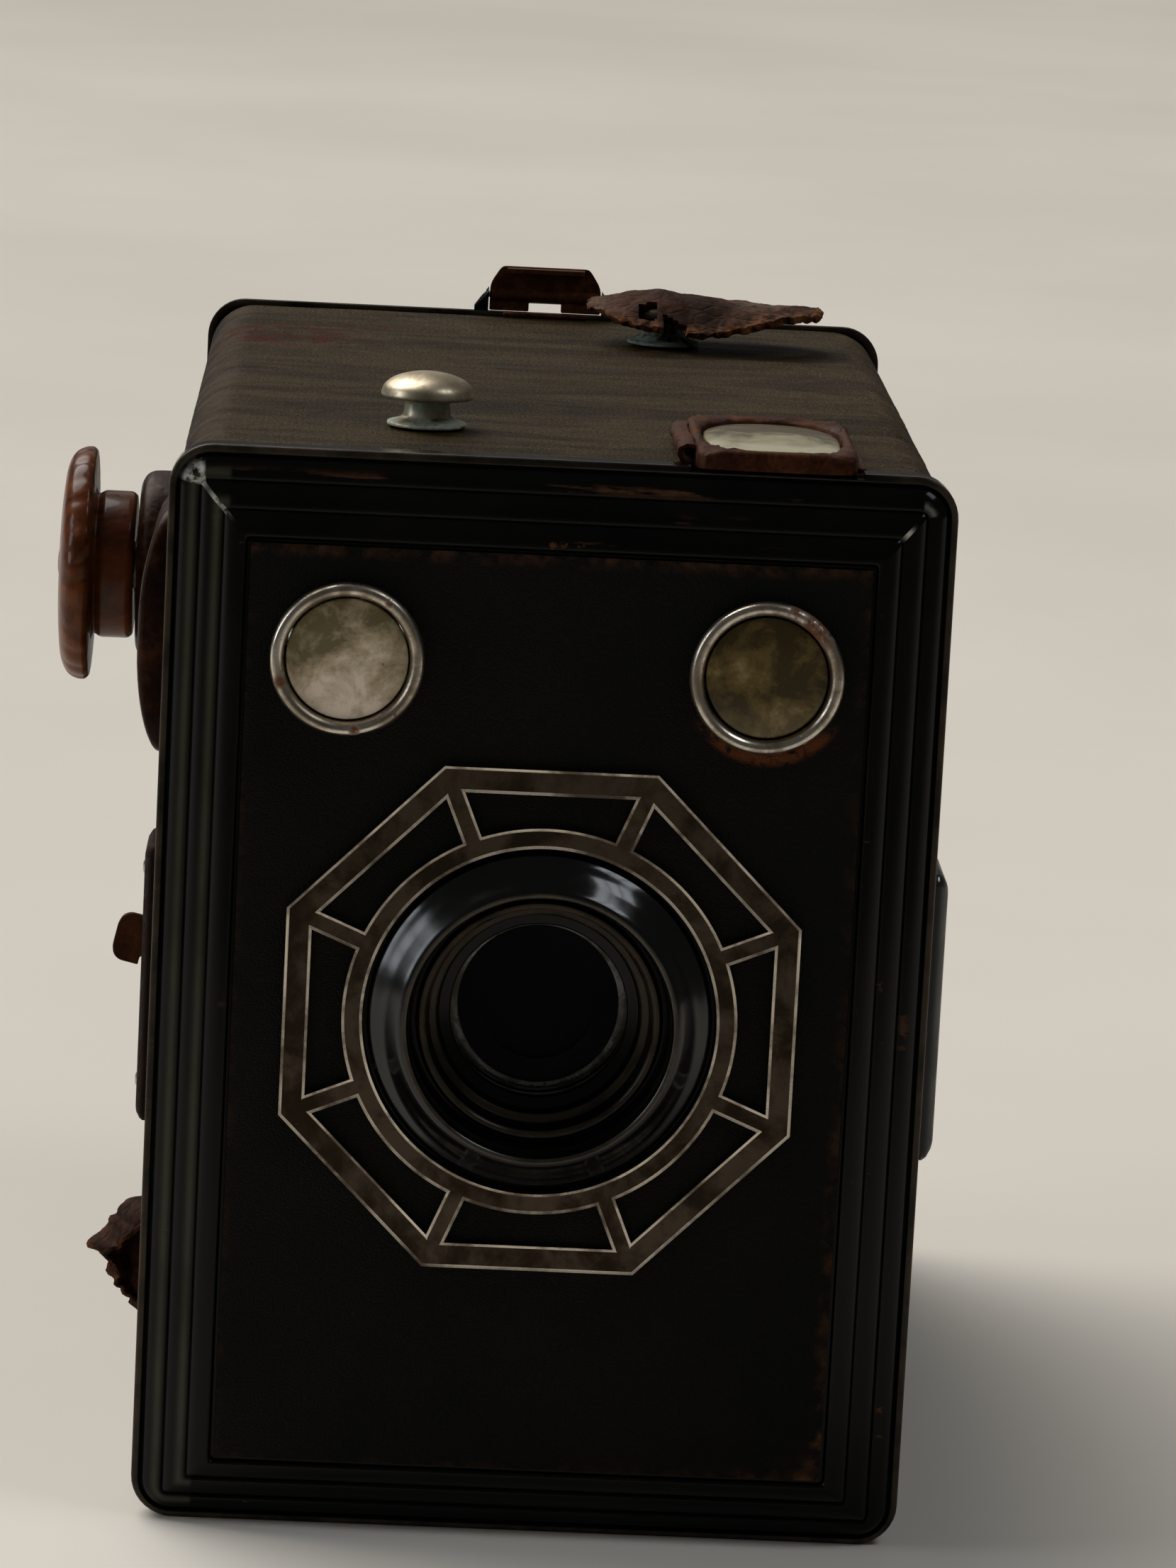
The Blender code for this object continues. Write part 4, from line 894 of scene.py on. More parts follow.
# ==================================================================== lens
cone = lathe("lens_bezel", [(12.9, -62.5), (17.45, -62.5), (17.45, -63.1, 0.3), (17.0, -63.6, 0.5),
                            (15.9, -64.5, 0.9), (14.9, -65.7, 0.9), (14.3, -66.4, 0.4), (13.9, -66.65, 0.3),
                            (13.5, -66.55, 0.25), (13.3, -66.1, 0.4), (12.9, -63.6, 1.2)],
             "y", 0.0, LENS_Z, ENAMEL_LENS, n=128, r=0.1, seg=5, sharp=55,
             attrs={"lip": lambda q, a: 1.0 if a < -66.45 and q < 13.95 else 0.0})
stands_for(cone, "black_enamel", "lens_cone")
tube = lathe("lens_stepped_tube", [(12.2, -63.0), (12.2, -54.3), (9.6, -54.3), (9.6, -57.2), (9.0, -57.2),
                                   (9.0, -58.3, 0.25), (10.2, -58.6, 0.2), (10.4, -60.0, 0.2),
                                   (11.2, -60.4, 0.2), (11.5, -62.7, 0.2), (11.8, -63.0)],
             "y", 0.0, LENS_Z, ENAMEL_TUBE, n=112, r=0.1, seg=4, sharp=50,
             # The front rim and an inner step of the tube are marked lip so they carry painted highlight rings.
             attrs={"lip": lambda q, a: 1.0 if a < -62.62 or (10.3 < q < 11.3 and -60.5 < a < -59.9) else 0.0})
stands_for(tube, "black_enamel", "lens_tube")
glass = lathe("lens_front_glass", [(0.0, -57.0), (1.5, -56.99), (3.0, -56.95), (4.5, -56.9), (6.0, -56.81),
                                   (7.5, -56.7), (9.25, -56.5), (9.25, -55.3), (7.5, -55.1), (4.0, -55.0),
                                   (0.0, -55.0)],
              "y", 0.0, LENS_Z, LENS, n=64, r=0.2, seg=2, sharp=50)
stands_for(glass, "lens_glass", "lens_element")
ret = lathe("lens_ring", [(8.2, -54.95), (9.25, -54.95), (9.25, -54.4), (8.2, -54.4)],
            "y", 0.0, LENS_Z, BRIGHT, n=64, r=0.1)
stands_for(ret, "bright_nickel", "lens_retaining_ring")

# ================================================================= finders
for side, cx, gm in (("left", -FINDER_X, GLASS_L), ("right", FINDER_X, GLASS_R)):
    bez = lathe("finder_rim_" + side,
                [(6.3, -61.3), (6.75, -61.3), (6.75, -63.1), (7.75, -63.1), (7.80, -63.45), (7.70, -63.86),
                 (7.47, -64.17), (7.12, -64.31), (6.76, -64.22), (6.50, -63.96), (6.36, -63.62), (6.3, -63.3)],
                "y", cx, FINDER_Z, BRIGHT, n=96, r=0.14, seg=4, sharp=50,
                flute=lambda q, a, t, s=cx: 0.022 * math.sin(3 * t + s) * (1 if a < -63.3 else 0))
    stands_for(bez, "bright_nickel", "finder_bezel_" + side)
    fl = lathe("finder_glass_" + side,
               [(0.0, -63.80), (0.8, -63.795), (1.6, -63.77), (2.4, -63.74), (3.2, -63.69), (4.0, -63.62),
                (4.8, -63.54), (5.5, -63.45), (6.12, -63.36), (6.12, -61.9), (0.0, -61.9)],
               "y", cx, FINDER_Z, gm, n=64, r=0.15, seg=2, sharp=50)
    stands_for(fl, "finder_glass", "finder_lens_" + side)

# Raised frame on top: walls with a rolled edge, small feet at its sides.
tx, ty = 21.1, -46.8
NW = 96
loops = [level("z", oval(tx, ty, 8.2, 13.2, 14.0, NW), 111.3),
         level("z", oval(tx, ty, 8.2, 13.2, 14.0, NW), 112.55),
         level("z", oval(tx, ty, 8.14, 13.14, 12.0, NW), 112.85),
         level("z", oval(tx, ty, 8.0, 13.0, 10.0, NW), 113.08),
         level("z", oval(tx, ty, 7.75, 12.75, 9.0, NW), 113.2),
         level("z", oval(tx, ty, 7.65, 12.4, 6.0, NW), 113.2),
         level("z", oval(tx, ty, 7.42, 11.8, 4.0, NW), 113.17),
         level("z", oval(tx, ty, 7.26, 11.3, 3.0, NW), 113.02),
         level("z", oval(tx, ty, 7.15, 11.1, 2.9, NW), 112.8),
         level("z", oval(tx, ty, 7.1, 11.0, 2.8, NW), 111.3)]
v = [p for lp in loops for p in lp]
f = []
for k in range(len(loops)):
    l = (k + 1) % len(loops)
    f += [(k * NW + i, k * NW + (i + 1) % NW, l * NW + (i + 1) % NW, l * NW + i) for i in range(NW)]
ft = solid("finder_hood_top", v, f, FRAME_RUST, 45)
ripple(ft, 0.24, 0.80, 4.0, keep=lambda p: 1.0 if p.z > 111.9 and math.hypot((p.x - tx) / 7.3, (p.y - ty) / 11.3) > 1.0 else 0.2)
stands_for(ft, "rusted_metal", "finder_frame_top")
curl = [(13.2, 111.45), (12.3, 111.5), (11.6, 111.9), (11.3, 112.6), (11.5, 113.3), (12.1, 113.7), (12.8, 113.6)]
NC = 44
vv, ffc = [], []
for j in range(NC + 1):
    y = -57.6 + 20.4 * j / NC
    lift = 0.55 + 0.45 * math.exp(-((j / NC - 0.18) / 0.22) ** 2)
    for x, z in curl:
        q = Vector((x * 0.4, y * 0.42, z * 0.4))
        vv.append((x + 0.20 * noise.fractal(q, 1.0, 2.0, 3) - 0.15 * (z > 113.0) * lift, y,
                   111.45 + (z - 111.45) * lift + 0.16 * noise.fractal(q + Vector((9, 2, 4)), 1.0, 2.0, 3)))
for j in range(NC):
    ffc += [(j * 7 + i, j * 7 + i + 1, (j + 1) * 7 + i + 1, (j + 1) * 7 + i) for i in range(6)]
cl = solid("finder_hood_curled_edge", vv, ffc, FRAME_RUST, 60)
so = cl.modifiers.new("thick", "SOLIDIFY")
so.thickness = 0.42 * MM
so.offset = 0.0
settle(cl, 60)
extra(cl, "camera_body")
for k, (x0, x1) in enumerate(((11.3, 12.85), (29.35, 30.2))):
    v, f = prism_data(fillet([(x0, -56.7), (x1, -56.7), (x1, -37.5), (x0, -38.2)], 0.5, 4), "z", 111.28, 111.62)
    foot = solid("finder_foot_%d" % k, v, f, FRAME_RUST, 40)
    soften(foot, 0.1, 2)
    extra(foot, "camera_body")
v, f = [], []
dome = [(6.95, 10.8, 111.7), (6.95, 10.8, 112.55), (6.8, 10.5, 112.78), (5.8, 9.0, 112.98), (4.0, 6.2, 113.10),
        (2.0, 3.1, 113.16)]
lps = [level("z", oval(tx, ty, a, b, 2.8 - 0.5 * (z > 112.7), 64), z) for a, b, z in dome]
v, f = skin_data(lps)
gt = solid("finder_pane_top", v, f, GLASS_T, 50)
stands_for(gt, "finder_glass", "finder_glass_top")

# Raised arched frame on the left side.
sy, sz = -48.4, 91.3


def arch(z):
    d = min(1.0, abs(z - sz) / 12.6)
    return 0.45 + 2.5 * (1.0 - d ** 2.2) ** 0.7


def arched(pts, k, drop=0.0):
    return [(-39.3 - max(0.02, k * arch(z) - drop), y, z) for y, z in pts]


loops = [level("x", oval(sy, sz, 8.4, 12.6, 6.0, NW), -39.3),
         arched(oval(sy, sz, 8.4, 12.55, 6.0, NW), 0.45),
         arched(oval(sy, sz, 8.38, 12.45, 6.0, NW), 0.78),
         arched(oval(sy, sz, 8.2, 12.25, 5.6, NW), 0.93),
         arched(oval(sy, sz, 7.8, 11.9, 5.0, NW), 1.0),
         arched(oval(sy, sz, 7.2, 10.9, 3.8, NW), 1.0),
         arched(oval(sy, sz, 6.5, 9.8, 3.0, NW), 0.98),
         arched(oval(sy, sz, 6.2, 9.35, 2.8, NW), 1.0, 0.25),
         arched(oval(sy, sz, 6.1, 9.2, 2.8, NW), 1.0, 0.7),
         level("x", oval(sy, sz, 6.1, 9.2, 2.8, NW), -39.3)]
v = [p for lp in loops for p in lp]
f = []
for k in range(len(loops)):
    l = (k + 1) % len(loops)
    f += [(k * NW + i, k * NW + (i + 1) % NW, l * NW + (i + 1) % NW, l * NW + i) for i in range(NW)]
fs = solid("finder_hood_side", v, f, COLLAR_RUST, 45)
stands_for(fs, "rusted_metal", "finder_frame_side")
lps = [level("x", oval(sy, sz, 5.8, 8.9, 2.8, 64), -39.7), level("x", oval(sy, sz, 5.8, 8.9, 2.8, 64), -40.2),
       level("x", oval(sy, sz, 5.6, 8.6, 2.8, 64), -40.34), level("x", oval(sy, sz, 4.6, 7.0, 2.4, 64), -40.44),
       level("x", oval(sy, sz, 2.4, 3.6, 2.2, 64), -40.52)]
v, f = skin_data(lps)
gs = solid("finder_pane_side", v, f, GLASS_S, 50)
stands_for(gs, "finder_glass", "finder_glass_side")

# =============================================================== case skin
SKX, SKZ0, SKZ1 = 39.0, 0.5, 111.0
out = rounded(-SKX, SKX, SKZ0, SKZ1, 5.1, 10, 1.6)
inn = rounded(-SKX + 0.4, SKX - 0.4, SKZ0 + 0.4, SKZ1 - 0.4, 4.7, 10, 1.6)
if len(out) != len(inn):
    inn = [(x * (SKX - 0.4) / SKX, (z - 55.75) * 54.85 / 55.25 + 55.75) for x, z in out]
ys = [-56.8, -56.62, -56.2] + [-55.4 + 1.28 * k for k in range(88)] + [56.9, 57.32, 57.5]
n_o = len(out)
verts, edge = [], []


def skin_wave(x, y, z):
    """Shallow wrinkles that run round the case, deeper on the top."""
    q = Vector((x * 0.055, y * 0.60, z * 0.055))
    h = noise.fractal(q, 1.0, 2.1, 4)
    q2 = Vector((x * 0.12, y * 0.22, z * 0.12)) + Vector((7.0, 1.0, 3.0))
    h2 = noise.fractal(q2, 1.0, 2.0, 3)
    k = (0.125 + 0.11 * max(0.0, min(1.0, (x - 18.0) / 16.0))) if z > 110.4 else 0.055
    return k * h + 0.05 * h2


for y in ys:
    fall = 0.14 if y in (-56.8, 57.5) else (0.04 if y in (-56.62, 57.32) else 0.0)
    for i, (x, z) in enumerate(out):
        a, b = out[i - 1], out[(i + 1) % n_o]
        tx_, tz_ = b[0] - a[0], b[1] - a[1]
        ln = math.hypot(tx_, tz_)
        nx_, nz_ = tz_ / ln, -tx_ / ln
        if nx_ * x + nz_ * (z - 55.75) < 0:
            nx_, nz_ = -nx_, -nz_
        d = max(-0.20, min(0.22, skin_wave(x, y, z))) - fall
        verts.append((x + nx_ * d, y, z + nz_ * d))
        corner = abs(nx_) > 0.12 and abs(nz_) > 0.12
        e = (1.0 if corner else 0.0)
        e = max(e, 0.8 * max(0.0, 1 - (57.5 - y) / 1.4), 0.8 * max(0.0, 1 - (y + 56.8) / 1.2))
        edge.append(e)
first_in = len(verts)
for y in reversed(ys):
    for x, z in inn:
        verts.append((x, y, z))
        edge.append(0.0)
faces = []
rows = 2 * len(ys)
for k in range(rows):
    l = (k + 1) % rows
    faces += [(k * n_o + i, k * n_o + (i + 1) % n_o, l * n_o + (i + 1) % n_o, l * n_o + i)
              for i in range(n_o)]
skin = solid("case_cover", verts, faces, CASE, 50, {"edge": edge})
cut(skin, [cyl_data("x", -24.0, 93.0, 3.2, -41, -36, 32),
           box_data((-41, -51.6, 47.2), (-36, -48.8, 61.8)),
           box_data((-41, -56.2, 82.6), (-36, -40.8, 99.9)),
           box_data((14.0, -56.2, 108.5), (28.0, -38.4, 112)),
           cyl_data("x", -47.0, LENS_Z, 5.6, 36, 41, 32),
           box_data((-14.3, -8.3, -1.5), (14.3, 26.3, 3.0)),
           box_data((-30.4, 51.6, -1.5), (30.4, 59.0, 3.0)),
           cyl_data("z", -14.0, -37.7, 1.8, 108.5, 113, 24),
           cyl_data("z", 13.1, 37.7, 1.8, 108.5, 113, 24)], sharp=50)
stands_for(skin, "case_leatherette", "body_leatherette")

# ================================================================== studs
for key, ux, uy, dome_z in (("front", -14.0, -37.7, 116.85), ("rear", 13.1, 37.7, 116.40)):
    h = dome_z - 114.8
    st = lathe("strap_stud_" + key + "_turned",
               [(0.0, 108.5), (2.1, 108.5), (2.1, 109.1), (1.2, 109.1), (1.2, 111.3), (4.1, 111.3, 0.08),
                (4.1, 111.60, 0.12), (3.2, 111.85, 0.4), (2.62 + 0.25 * (key == "rear"), 112.1, 0.4), (2.4, 112.5, 0.4),
                (2.3, 113.6, 0.3), (2.5, 114.12, 0.15), (4.7, 114.2, 0.12), (4.85, 114.45, 0.25),
                (4.6, 114.8 + 0.26 * h, 0.4), (3.8, 114.8 + 0.60 * h, 0.5), (2.8, 114.8 + 0.80 * h, 0.5),
                (1.5, 114.8 + 0.95 * h, 0.5), (0.0, dome_z)],
               "z", ux, uy, STUD if key == "front" else STUD_REAR, n=64, r=0.1, seg=3, sharp=50,
               attrs={"green": lambda q, a, fr=(key == "front"): 1.0 if 111.0 < a < (114.15 if fr else 113.8) else (0.45 if fr and a < 114.5 else 0.0)})
    stands_for(st, "stud_nickel", "strap_stud_" + key)

# ================================================= torn end of the leather
NU, NV = 88, 44


def strap_mid(u, v):
    """Middle surface of the strap end; u runs left to right, v front to back."""
    x = 4.6 + 26.4 * u
    lo = np.interp(u, [0, .05, .12, .24, .40, .55, .72, .86, 1.0],
                   [36.6, 33.6, 31.6, 30.3, 29.9, 30.4, 31.6, 33.2, 36.2])
    hi = np.interp(u, [0, .05, .15, .32, .55, .75, .90, 1.0],
                   [40.2, 43.2, 45.4, 46.3, 46.2, 45.0, 42.6, 39.4])
    y = lo + (hi - lo) * v
    front = np.interp(u, [0, .08, .2, .43, .60, .74, .86, 1.0],
                      [115.2, 114.4, 113.7, 113.0, 113.5, 114.6, 115.1, 115.0])
    rear = np.interp(u, [0, .2, .5, .8, 1.0], [114.6, 115.0, 115.0, 114.9, 114.4])
    k = math.sin(math.pi / 2 * min(1.0, v / 0.45))
    z = front + (115.6 - front) * k if v < 0.45 else rear + (115.6 - rear) * math.cos(
        math.pi / 2 * (v - 0.45) / 0.55)
    z += 1.25 * math.exp(-((x - 13.1) ** 2 + (y - 37.7) ** 2) / 34.0)
    z += 0.35 * noise.fractal(Vector((x * 0.30, y * 0.30, 2.0)), 1.0, 2.0, 4)
    return x, y, z


pts, keep_q, tear, worn = [], {}, [], []
for j in range(NV + 1):
    for i in range(NU + 1):
        u, v = i / NU, j / NV
        x, y, z = strap_mid(u, v)
        du = min(u, 1 - u) * 26.4
        dv = min(v, 1 - v) * 15.0
        e = max(0.0, 1 - min(du, dv) / 1.5)
        if e > 0:
            k = noise.fractal(Vector((x * 0.95, y * 0.95, 5.0)), 0.9, 2.1, 4)
            sgn_v = -1 if v < 0.5 else 1
            if dv <= du:
                y += sgn_v * e * 0.55 * k
            else:
                x += (-1 if u < 0.5 else 1) * e * 0.55 * k
            z += e * 0.22 * noise.noise(Vector((x * 1.3, y * 1.3, 8.0)))
        pts.append((x, y, z))
        tear.append(min(1.0, e * 1.2 + 0.75 * math.exp(-((u - 0.80) / 0.13) ** 2 - ((v - 0.15) / 0.28) ** 2)))
        worn.append(math.exp(-((u - 0.73) / 0.10) ** 2 - ((v - 0.55) / 0.22) ** 2)
                    + 0.8 * math.exp(-((u - 0.05) / 0.06) ** 2 - ((v - 0.35) / 0.30) ** 2))
faces_mid = []
for j in range(NV):
    for i in range(NU):
        a = j * (NU + 1) + i
        x, y, z = pts[a]
        slot_hole = 9.7 < x < 12.0 and 31.3 < y < 33.9
        notch = 12.6 < x < 15.2 and y < 31.0 + (15.2 - x) * 0.6
        if slot_hole or notch:
            continue
        faces_mid.append((a, a + 1, a + NU + 2, a + NU + 1))
me = bpy.data.meshes.new("strap_end")
me.from_pydata([(x * MM, y * MM, z * MM) for x, y, z in pts], [], faces_mid)
for key, vals in (("edge", tear), ("worn", worn)):
    at_ = me.attributes.new(key, "FLOAT", "POINT")
    at_.data.foreach_set("value", np.clip(np.asarray(vals, np.float32), 0, 1))
me.materials.append(LEATHER)
strap = bpy.data.objects.new("strap_end", me)
scene.collection.objects.link(strap)
bm = bmesh.new()
bm.from_mesh(me)
bmesh.ops.delete(bm, geom=[q for q in bm.verts if not q.link_faces], context="VERTS")
bmesh.ops.recalc_face_normals(bm, faces=bm.faces[:])
if sum(q.normal.z for q in bm.faces) < 0:
    bmesh.ops.reverse_faces(bm, faces=bm.faces[:])
bm.to_mesh(me)
bm.free()
sol = strap.modifiers.new("thick", "SOLIDIFY")
sol.thickness = 0.85 * MM
sol.offset = 0.0
sol.use_even_offset = False
bv = strap.modifiers.new("edge", "BEVEL")
bv.width = 0.14 * MM
bv.segments = 2
bv.limit_method = "ANGLE"
bv.angle_limit = math.radians(50)
settle(strap, 60)
stands_for(strap, "old_leather", "handle_strap_remnant")


# ======================================= lifted corner of the leatherette
def ragged(name, rim, y_at, thick, seed, mat, lean=0.0, body_x=-39.15, nr=54, nc=20):
    """Torn sheet that stands out of the side; rim gives its (z, x) outline."""
    zs = [q[0] for q in rim]
    xs = [q[1] for q in rim]
    P, W = [], []
    for i in range(nr + 1):
        z0 = zs[0] + (zs[-1] - zs[0]) * i / nr
        xl = np.interp(z0, zs, xs)
        jag = noise.fractal(Vector((z0 * 1.3, seed, 0.0)), 0.8, 2.2, 4)
        xl = min(body_x - 0.15, xl + 0.42 * jag)
        for j in range(nc + 1):
            k = j / nc
            x = body_x + (xl - body_x) * k
            curl_y = y_at + lean * k ** 1.4 + 1.2 * k * k * math.sin(0.45 * z0 + seed) + 0.35 * noise.noise(
                Vector((x * 0.6, z0 * 0.6, seed)))
            z = z0 + 0.28 * k * noise.noise(Vector((x * 0.8, z0 * 0.8, seed + 5.0)))
            P.append((x, curl_y, z))
            W.append(0.45 * max(0.0, (k - 0.82) / 0.18) + 0.4 * max(0.0, noise.noise(Vector((x, z0, 3.0)))))
    F = [(i * (nc + 1) + j, i * (nc + 1) + j + 1, (i + 1) * (nc + 1) + j + 1, (i + 1) * (nc + 1) + j)
         for i in range(nr) for j in range(nc)]
    ob = solid(name, P, F, mat, 60, {"edge": [min(1.0, w) for w in W]})
    so_ = ob.modifiers.new("thick", "SOLIDIFY")
    so_.thickness = thick * MM
    so_.offset = 0.0
    settle(ob, 60)
    return ob


main = ragged("torn_cover_corner", [(18.5, -39.4), (19.2, -40.6), (20.6, -41.0), (21.3, -41.9), (22.4, -43.1),
                                    (23.4, -43.0), (24.2, -44.2), (24.7, -45.4), (25.5, -44.4), (26.9, -43.3),
                                    (28.4, -42.2), (29.6, -41.3), (30.3, -39.5)], -51.0, 0.42, 2.0, LEATHER, lean=4.5)
stands_for(main, "panel_leatherette", "torn_leatherette_flap")
low = ragged("torn_cover_corner_back", [(20.0, -39.4), (21.0, -40.9), (22.6, -42.3), (23.6, -41.8), (25.4, -43.3),
                                        (27.0, -41.6), (28.6, -39.5)], -48.6, 0.40, 6.0, LEATHER, lean=-3.0)
extra(low, "camera_body")

# ================================================================ winding
KY, KZ = -24.0, 93.0
col = lathe("knob_base_collar", [(2.95, -39.3), (10.1, -39.3), (10.08, -41.6, 0.3), (10.0, -42.4, 0.5),
                                 (9.6, -43.05, 0.5), (8.7, -43.5, 0.4), (6.5, -43.6, 0.15), (6.4, -42.7),
                                 (2.95, -42.7)],
            "x", KY, KZ, COLLAR_RUST, n=96, r=0.1, seg=4, sharp=50)
stands_for(col, "brown_bakelite", "knob_collar")
wash = lathe("friction_spring_washer", [(2.75, -43.5), (6.0, -43.5), (6.0, -43.05), (2.75, -43.05)],
             "x", KY, KZ, STEEL, n=48, r=0.08)
stands_for(wash, "bare_steel", "knob_friction_washer")


def flutes(q, a, t):
    """Shallow grip flutes on the outer edge of the disc."""
    if q < 10.6 or a > -48.2:
        return 0.0
    k = min(1.0, (q - 10.6) / 1.2)
    return -0.13 * k * (0.5 + 0.5 * math.cos(26 * t)) ** 2


knob = lathe("winding_knob_moulding",
             [(2.75, -43.9), (7.3, -43.9, 0.15), (7.75, -44.35, 0.4), (7.75, -47.3, 0.3), (7.3, -48.0, 0.3),
              (8.2, -48.24, 0.3), (11.9, -48.3, 0.2), (12.3, -48.7, 0.25), (12.3, -49.5, 0.7),
              (11.8, -50.55, 0.9), (10.4, -51.28, 0.9), (7.5, -51.6, 0.6), (4.4, -51.66, 0.3),
              (3.9, -51.5, 0.25), (2.75, -51.55)],
             "x", KY, KZ, BAKELITE, n=240, r=0.12, seg=4, sharp=55, flute=flutes)
stands_for(knob, "brown_bakelite", "winding_knob")
sh = lathe("winding_shaft_turned", [(0.0, -50.2), (2.45, -50.2), (2.45, -33.0), (1.8, -32.9), (1.8, -29.6),
                                    (0.0, -29.3)], "x", KY, KZ, STEEL, n=40, r=0.12)
stands_for(sh, "bare_steel", "winding_shaft")
scr = lathe("knob_hub_screw", [(0.0, -52.05), (0.9, -52.02), (1.6, -51.88), (2.3, -51.55, 0.3),
                               (2.45, -51.2), (2.45, -50.5), (0.0, -50.5)],
            "x", KY, KZ, BAKELITE, n=48, r=0.12, seg=3, sharp=50)
cut(scr, [box_data((-52.6, KY - 0.28, KZ - 3), (-51.62, KY + 0.28, KZ + 3))], sharp=45)
stands_for(scr, "brown_bakelite", "knob_screw")

SP = [(2.2, -32.6), (12.5, -32.6), (12.5, -31.8), (5.2, -31.8), (5.2, 31.8), (12.5, 31.8), (12.5, 32.6),
      (2.2, 32.6)]
for nm, node, z in (("take_up", "take_up_spool", KZ), ("supply", "supply_spool", 17.0)):
    sp = lathe(nm + "_spool_turned", SP, "x", KY, z, WOOD, n=72, r=0.25, seg=3, sharp=50)
    slot = [box_data((-24, KY + 4.2, z - 0.5), (24, KY + 6.2, z + 0.5))]
    cut(sp, slot, sharp=50)
    stands_for(sp, "spool_wood", node)
for nm, z in (("upper", 105.3), ("lower", 5.7)):
    ro = lathe("roller_" + nm + "_turned", [(0.0, -36.2), (1.0, -36.2), (1.0, -34.6), (2.6, -34.6),
                                           (2.6, 34.6), (1.0, 34.6), (1.0, 36.2), (0.0, 36.2)],
               "x", 50.2, z, STEEL, n=40, r=0.15)
    stands_for(ro, "bare_steel", "film_roller_" + nm)
for nm, k, z in (("upper_right", 1, KZ), ("lower_right", 1, 17.0), ("lower_left", -1, 17.0)):
    pn = lathe("spool_axle_" + nm, [(0.0, k * 36.6), (2.6, k * 36.6), (2.6, k * 36.1), (1.75, k * 36.1),
                                    (1.75, k * 30.0), (0.0, k * 29.7)], "x", KY, z, STEEL, n=32, r=0.12)
    stands_for(pn, "bare_steel", "spool_pin_" + nm)

# ================================================ release plate and lever
rp = [level("x", rounded(-54.5, -44.5, 40.2, 69.3, 1.2, 8), -39.3),
      level("x", rounded(-54.5, -44.5, 40.2, 69.3, 1.2, 8), -39.95),
      level("x", rounded(-54.3, -44.7, 40.4, 69.1, 1.1, 8), -40.25),
      level("x", rounded(-53.7, -45.3, 41.0, 68.5, 0.8, 8), -40.62),
      level("x", rounded(-53.3, -45.7, 41.4, 68.1, 0.7, 8), -40.7)]
v, f = skin_data(rp)
rel = solid("release_escutcheon", v, f, PLATE_RUST, 40)
cut(rel, [box_data((-42, -51.4, 47.4), (-38, -49.0, 61.6))], sharp=40)
for zc in (43.6, 66.0):
    cut(rel, [cyl_data("x", -49.5, zc, 1.15, -41.5, -40.35, 32)], sharp=40)
soften(rel, 0.10, 2, 40, 60, EDGE_RUST)
stands_for(rel, "rusted_metal", "release_slot_plate")
for k, zc in enumerate((43.6, 66.0)):
    rv = lathe("release_rivet_%d" % k, [(0.0, -41.0), (0.5, -40.97), (0.85, -40.75, 0.15), (0.95, -40.5),
                                        (0.95, -40.4), (0.0, -40.4)], "x", -49.5, zc, STEEL, n=28, r=0.08)
    extra(rv, "camera_body")
LPX, LPZ, LA = -24.0, 54.7, math.radians(12.5)
lca, lsa = math.cos(LA), math.sin(LA)


def lever_pt(s, w, r=0.3):
    return (LPX - s * lca + w * lsa, LPZ + s * lsa + w * lca, r)


pts = [lever_pt(*q) for q in [(1.9, 1.6, .4), (17.0, 1.6, .3), (17.0, 2.55, .15), (19.0, 2.55, .4),
                              (19.7, 2.1, .4), (20.0, 1.2, .4), (20.0, -1.2, .4), (19.7, -2.1, .4),
                              (19.0, -2.55, .4), (17.0, -2.55, .15), (17.0, -1.6, .3), (1.9, -1.6, .4),
                              (0.6, -3.0, .8), (-1.5, -2.7, .8), (-8.5, -1.0, .5), (-9.0, 0.0, .5),
                              (-8.5, 1.0, .5), (-1.5, 2.7, .8), (0.6, 3.0, .8)]]
v, f = prism_data(fillet(pts, 0.3, 4), "y", -50.6, -49.8)
lev = solid("release_lever", v, f, LATCH_RUST, 40)
cut(lev, [cyl_data("y", LPX, LPZ, 1.3, -52, -48, 32)], sharp=40)
soften(lev, 0.14, 2, 35, 60, EDGE_RUST)
stands_for(lev, "rusted_metal", "shutter_lever")

# ========================================================= tripod plates
ss = [level("x", rounded(-54.8, -39.2, 39.6, 69.8, 1.2, 8), 39.3),
      level("x", rounded(-54.8, -39.2, 39.6, 69.8, 1.2, 8), 40.3),
      level("x", rounded(-54.5, -39.5, 39.9, 69.5, 1.1, 8), 40.75),
      level("x", rounded(-53.7, -40.3, 40.7, 68.7, 0.8, 8), 41.25),
      level("x", rounded(-53.2, -40.8, 41.2, 68.2, 0.7, 8), 41.4)]
v, f = skin_data(ss)
soc = solid("side_socket_plate", v, f, SATIN, 40)
cut(soc, [cyl_data("x", -47.0, LENS_Z, 5.0, 35.6, 40.0, 64)], "UNION", sharp=40)
cut(soc, [cyl_data("x", -47.0, LENS_Z, 4.2, 35.0, 42.5, 64)], sharp=40)
for zc in (43.6, 65.8):
    cut(soc, [cyl_data("x", -47.0, zc, 1.2, 41.0, 42.5, 32)], sharp=40)
soften(soc, 0.12, 2, 40, 60, STEEL)
stands_for(soc, "rusted_metal", "tripod_socket_side")
for k, zc in enumerate((43.6, 65.8)):
    rv = lathe("side_plate_rivet_%d" % k, [(0.0, 41.05), (0.95, 41.05), (0.95, 41.2), (0.8, 41.36, 0.15),
                                           (0.4, 41.46), (0.0, 41.5)], "x", -47.0, zc, STEEL, n=28, r=0.08)
    extra(rv, "camera_body")


